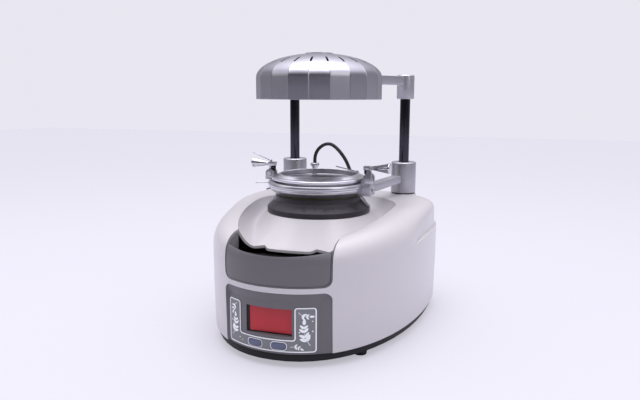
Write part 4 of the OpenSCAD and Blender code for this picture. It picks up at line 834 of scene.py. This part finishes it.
prints = [ribbon(label_outline(LINE_INSET, LINE_CORNER), LINE_W)]
prints += [ribbon(button_outline(x, RING_MARGIN), RING_W) for x in BUTTON_X]
prints += sprig((-56, 28), (-51, 51), 2.2, 4, 7.6)
prints += sprig((-48.5, 69), (-55, 58), 1.2, 2, 5.8)
prints += sprig((43.5, 28), (37, 53), -2.6, 4, 9.0)
prints += sprig((31.0, 67.5), (43.0, 62.5), 1.8, 2, 6.4)
prints += sprig((22, 26), (33, 24.5), -1.4, 2, 5.2)
prints += [leaf((x - r, z), 0, 2 * r, 2 * r) for x, z, r in BERRIES]
label_print = join(*prints)
label_print.name = "label_print"
smooth(label_print, 30)
replace_piece(label_print, "root", "white_print", "panel_label")

# %% [markdown]
# The smaller rigid pieces keep the shapes of the construction model. Each copy is welded into one
# skin and its flat faces lose their triangles; where a width is given, every sharp edge gets a
# small rounding of that size.

# %% Broken edges
body_of = {name: body for body, names in frame["record"]["behaviour"]["bodies"].items()
           for name in (names or [])}


def eased_copy(name, width, blend=36, look=None):
    """A copy of a construction piece with its sharp edges rounded; width is in millimetres."""
    obj = bpy.data.objects.new(name + "_piece", frame["nodes"][name].data.copy())
    bpy.context.scene.collection.objects.link(obj)
    only(obj)
    bpy.ops.mesh.customdata_custom_splitnormals_clear()
    edit(obj, merge, lambda: bpy.ops.mesh.dissolve_limited(angle_limit=math.radians(1)), face_out)
    if width:
        apply_modifier(obj, "BEVEL", width=width * MM, segments=2, limit_method="ANGLE",
                       angle_limit=math.radians(32))
    smooth(obj, blend)
    replace_piece(obj, body_of.get(name, "root"), slot_of[name], name, look=look)


FASCIA_BLEND, OTHER_BLEND = 7, 36
# The handles are bright chrome; the tray's grey is painted light in the drawer's mouth.
own_look = {"left_handle": "bright_chrome", "right_handle": "bright_chrome",
            "drawer_tray": "tray_painted_light"}
broken_edges = {
    1.2: ("heater_arm",),
    0.8: ("arm_end_block", "left_hub_arm", "right_hub_arm"),
    0.5: ("control_fascia", "left_button", "right_button", "left_clevis", "right_clevis", "ring_horn",
          "base_plate", "left_nose", "right_nose"),
    0.3: ("holder_ring", "clamp_ring", "table_base", "table_platform", "left_handle", "right_handle",
          "left_lever", "right_lever", "cable_gland", "rubber_feet", "column_bumpers", "mains_inlet",
          "switch_frame", "power_rocker", "pocket_liner"),
    0: ("left_column", "right_column", "table_seal", "ring_wire", "lever_wire", "sensor_cable",
        "cable_grommet", "drawer_tray"),
}
for width, names in broken_edges.items():
    for name in names:
        blend = FASCIA_BLEND if name == "control_fascia" else OTHER_BLEND
        eased_copy(name, width, blend, own_look.get(name))

# %% [markdown]
# The red window sits in a thin black bezel. Its left and lower edges are widened with painted
# shade, black bands that stand in for the shade inside the display's recess, so the fascia's
# opening is widened there and the black frame fills it.

# %% Display bezel
LENS_LEFT, LENS_RIGHT, LENS_LOW, LENS_TOP = -29.5, 23.5, 39.5, 70.5
# The left and lower widths on the next line are painted shade: black bands beside the lens that stand
# in for the recess's shade.
BEZEL_Y, BEZEL_T, SHADE_BAND_LEFT_W, SHADE_BAND_LOW_H = -167.5, 2, 4.3, 1.6
fascia = bpy.data.objects["control_fascia_piece"]
cut(fascia, box("opening", (LENS_LEFT - SHADE_BAND_LEFT_W, -200, LENS_LOW - SHADE_BAND_LOW_H),
                (LENS_RIGHT, -150, LENS_TOP)))
smooth(fascia, FASCIA_BLEND)
# A thin black frame, widened at the left and bottom as painted shade of the recess.
bezel_and_shade = box("display_bezel_and_painted_shade", (LENS_LEFT - 6, BEZEL_Y, LENS_LOW - 4),
            (LENS_RIGHT + 2, BEZEL_Y + BEZEL_T, LENS_TOP + 2))
cut(bezel_and_shade, box("window", (LENS_LEFT - 0.1, -200, LENS_LOW - 0.1),
               (LENS_RIGHT + 0.1, -150, LENS_TOP + 0.1)))
replace_piece(bezel_and_shade, "root", "black_plastic", "display_lens")
lens = bpy.data.objects.new("display_lens_piece", frame["nodes"]["display_lens"].data.copy())
bpy.context.scene.collection.objects.link(lens)
edit(lens, merge, face_out)
replace_piece(lens, "root", "display_red", "display_lens")

# %% [markdown]
# The machine stands on a pale floor. Camera rays see it partly glow, so that it runs into the
# white background without a line, and the rest of its shader still takes the contact shadow.

# %% Floor
FLOOR_SIZE, PAPER_SHADE, GLOW_SHARE = 8.0, 0.78, 0.55
BACKGROUND = linear(233, 231, 241)

bpy.ops.mesh.primitive_plane_add(size=FLOOR_SIZE, location=(0, 0, 0))
floor = bpy.context.object
floor.name = "floor"
sweep = bpy.data.materials.new("white_sweep")
sweep.use_nodes = True
nodes, links = sweep.node_tree.nodes, sweep.node_tree.links
paper = nodes["Principled BSDF"]
paper.inputs["Base Color"].default_value = shaded(BACKGROUND, PAPER_SHADE)
paper.inputs["Roughness"].default_value = 0.9
glow = add(sweep, "ShaderNodeEmission", Color=BACKGROUND, Strength=1.0)
path = add(sweep, "ShaderNodeLightPath")
seen = add(sweep, "ShaderNodeMath")
seen.operation = "MULTIPLY"
seen.inputs[1].default_value = GLOW_SHARE
mixer = add(sweep, "ShaderNodeMixShader")
links.new(path.outputs["Is Camera Ray"], seen.inputs[0])
links.new(seen.outputs[0], mixer.inputs[0])
links.new(paper.outputs[0], mixer.inputs[1])
links.new(glow.outputs[0], mixer.inputs[2])
links.new(mixer.outputs[0], nodes["Material Output"].inputs["Surface"])
floor.data.materials.append(sweep)
print("floor of", FLOOR_SIZE, "m")

# %% [markdown]
# The room is an even, bright world. Camera rays see the background white; the light that reaches
# the object is softer, so that pale plastic keeps its shape. The room in front of the machine is
# dimmer than behind it, and brightest overhead, which gives metal its dark and bright bands.

# %% Room
room = bpy.data.worlds.new("room")
bpy.context.scene.world = room
room.use_nodes = True
room.node_tree.nodes.clear()
direction = add(room, "ShaderNodeTexCoord")
parts = add(room, "ShaderNodeSeparateXYZ", Vector=direction.outputs["Generated"])
behind = add(room, "ShaderNodeMapRange", Value=parts.outputs["Y"],
             From_Min=-0.6, From_Max=0.5, To_Min=0.08, To_Max=0.5)
above = add(room, "ShaderNodeMapRange", Value=parts.outputs["Z"],
            From_Min=0.45, From_Max=0.9, To_Min=0.0, To_Max=2.2)
total = add(room, "ShaderNodeMath")
total.operation = "ADD"
rays = add(room, "ShaderNodeLightPath")
strength = add(room, "ShaderNodeMix")
strength.inputs[3].default_value = 1.0
background = add(room, "ShaderNodeBackground", Color=BACKGROUND)
output = add(room, "ShaderNodeOutputWorld")
links = room.node_tree.links
links.new(behind.outputs["Result"], total.inputs[0])
links.new(above.outputs["Result"], total.inputs[1])
links.new(rays.outputs["Is Camera Ray"], strength.inputs[0])
links.new(total.outputs[0], strength.inputs[2])
links.new(strength.outputs[0], background.inputs["Strength"])
links.new(background.outputs[0], output.inputs["Surface"])
print("room with", len(room.node_tree.nodes), "nodes")

# %% [markdown]
# Three large round lamps give soft shadows: a strong one overhead and two weak ones at the sides.
# The Standard view transform keeps the colours as they were chosen.

# %% Lamps
def softbox(name, size, power, place, aim=(0, 0, 0.15)):
    """A round area lamp; size and place are metres, and power is watts."""
    lamp = bpy.data.lights.new(name, "AREA")
    lamp.shape = "DISK"
    lamp.size = size
    lamp.energy = power
    holder = bpy.data.objects.new(name, lamp)
    bpy.context.scene.collection.objects.link(holder)
    holder.location = place
    holder.rotation_euler = (Vector(aim) - Vector(place)).to_track_quat("-Z", "Y").to_euler()


softbox("top_softbox", 1.3, 10.5, (0.0, -0.1, 1.6))
softbox("right_softbox", 0.9, 2.6, (1.3, -0.7, 0.9))
softbox("left_softbox", 0.9, 1.6, (-1.3, -0.5, 0.8))
bpy.context.scene.view_settings.view_transform = "Standard"
print("three soft lamps")
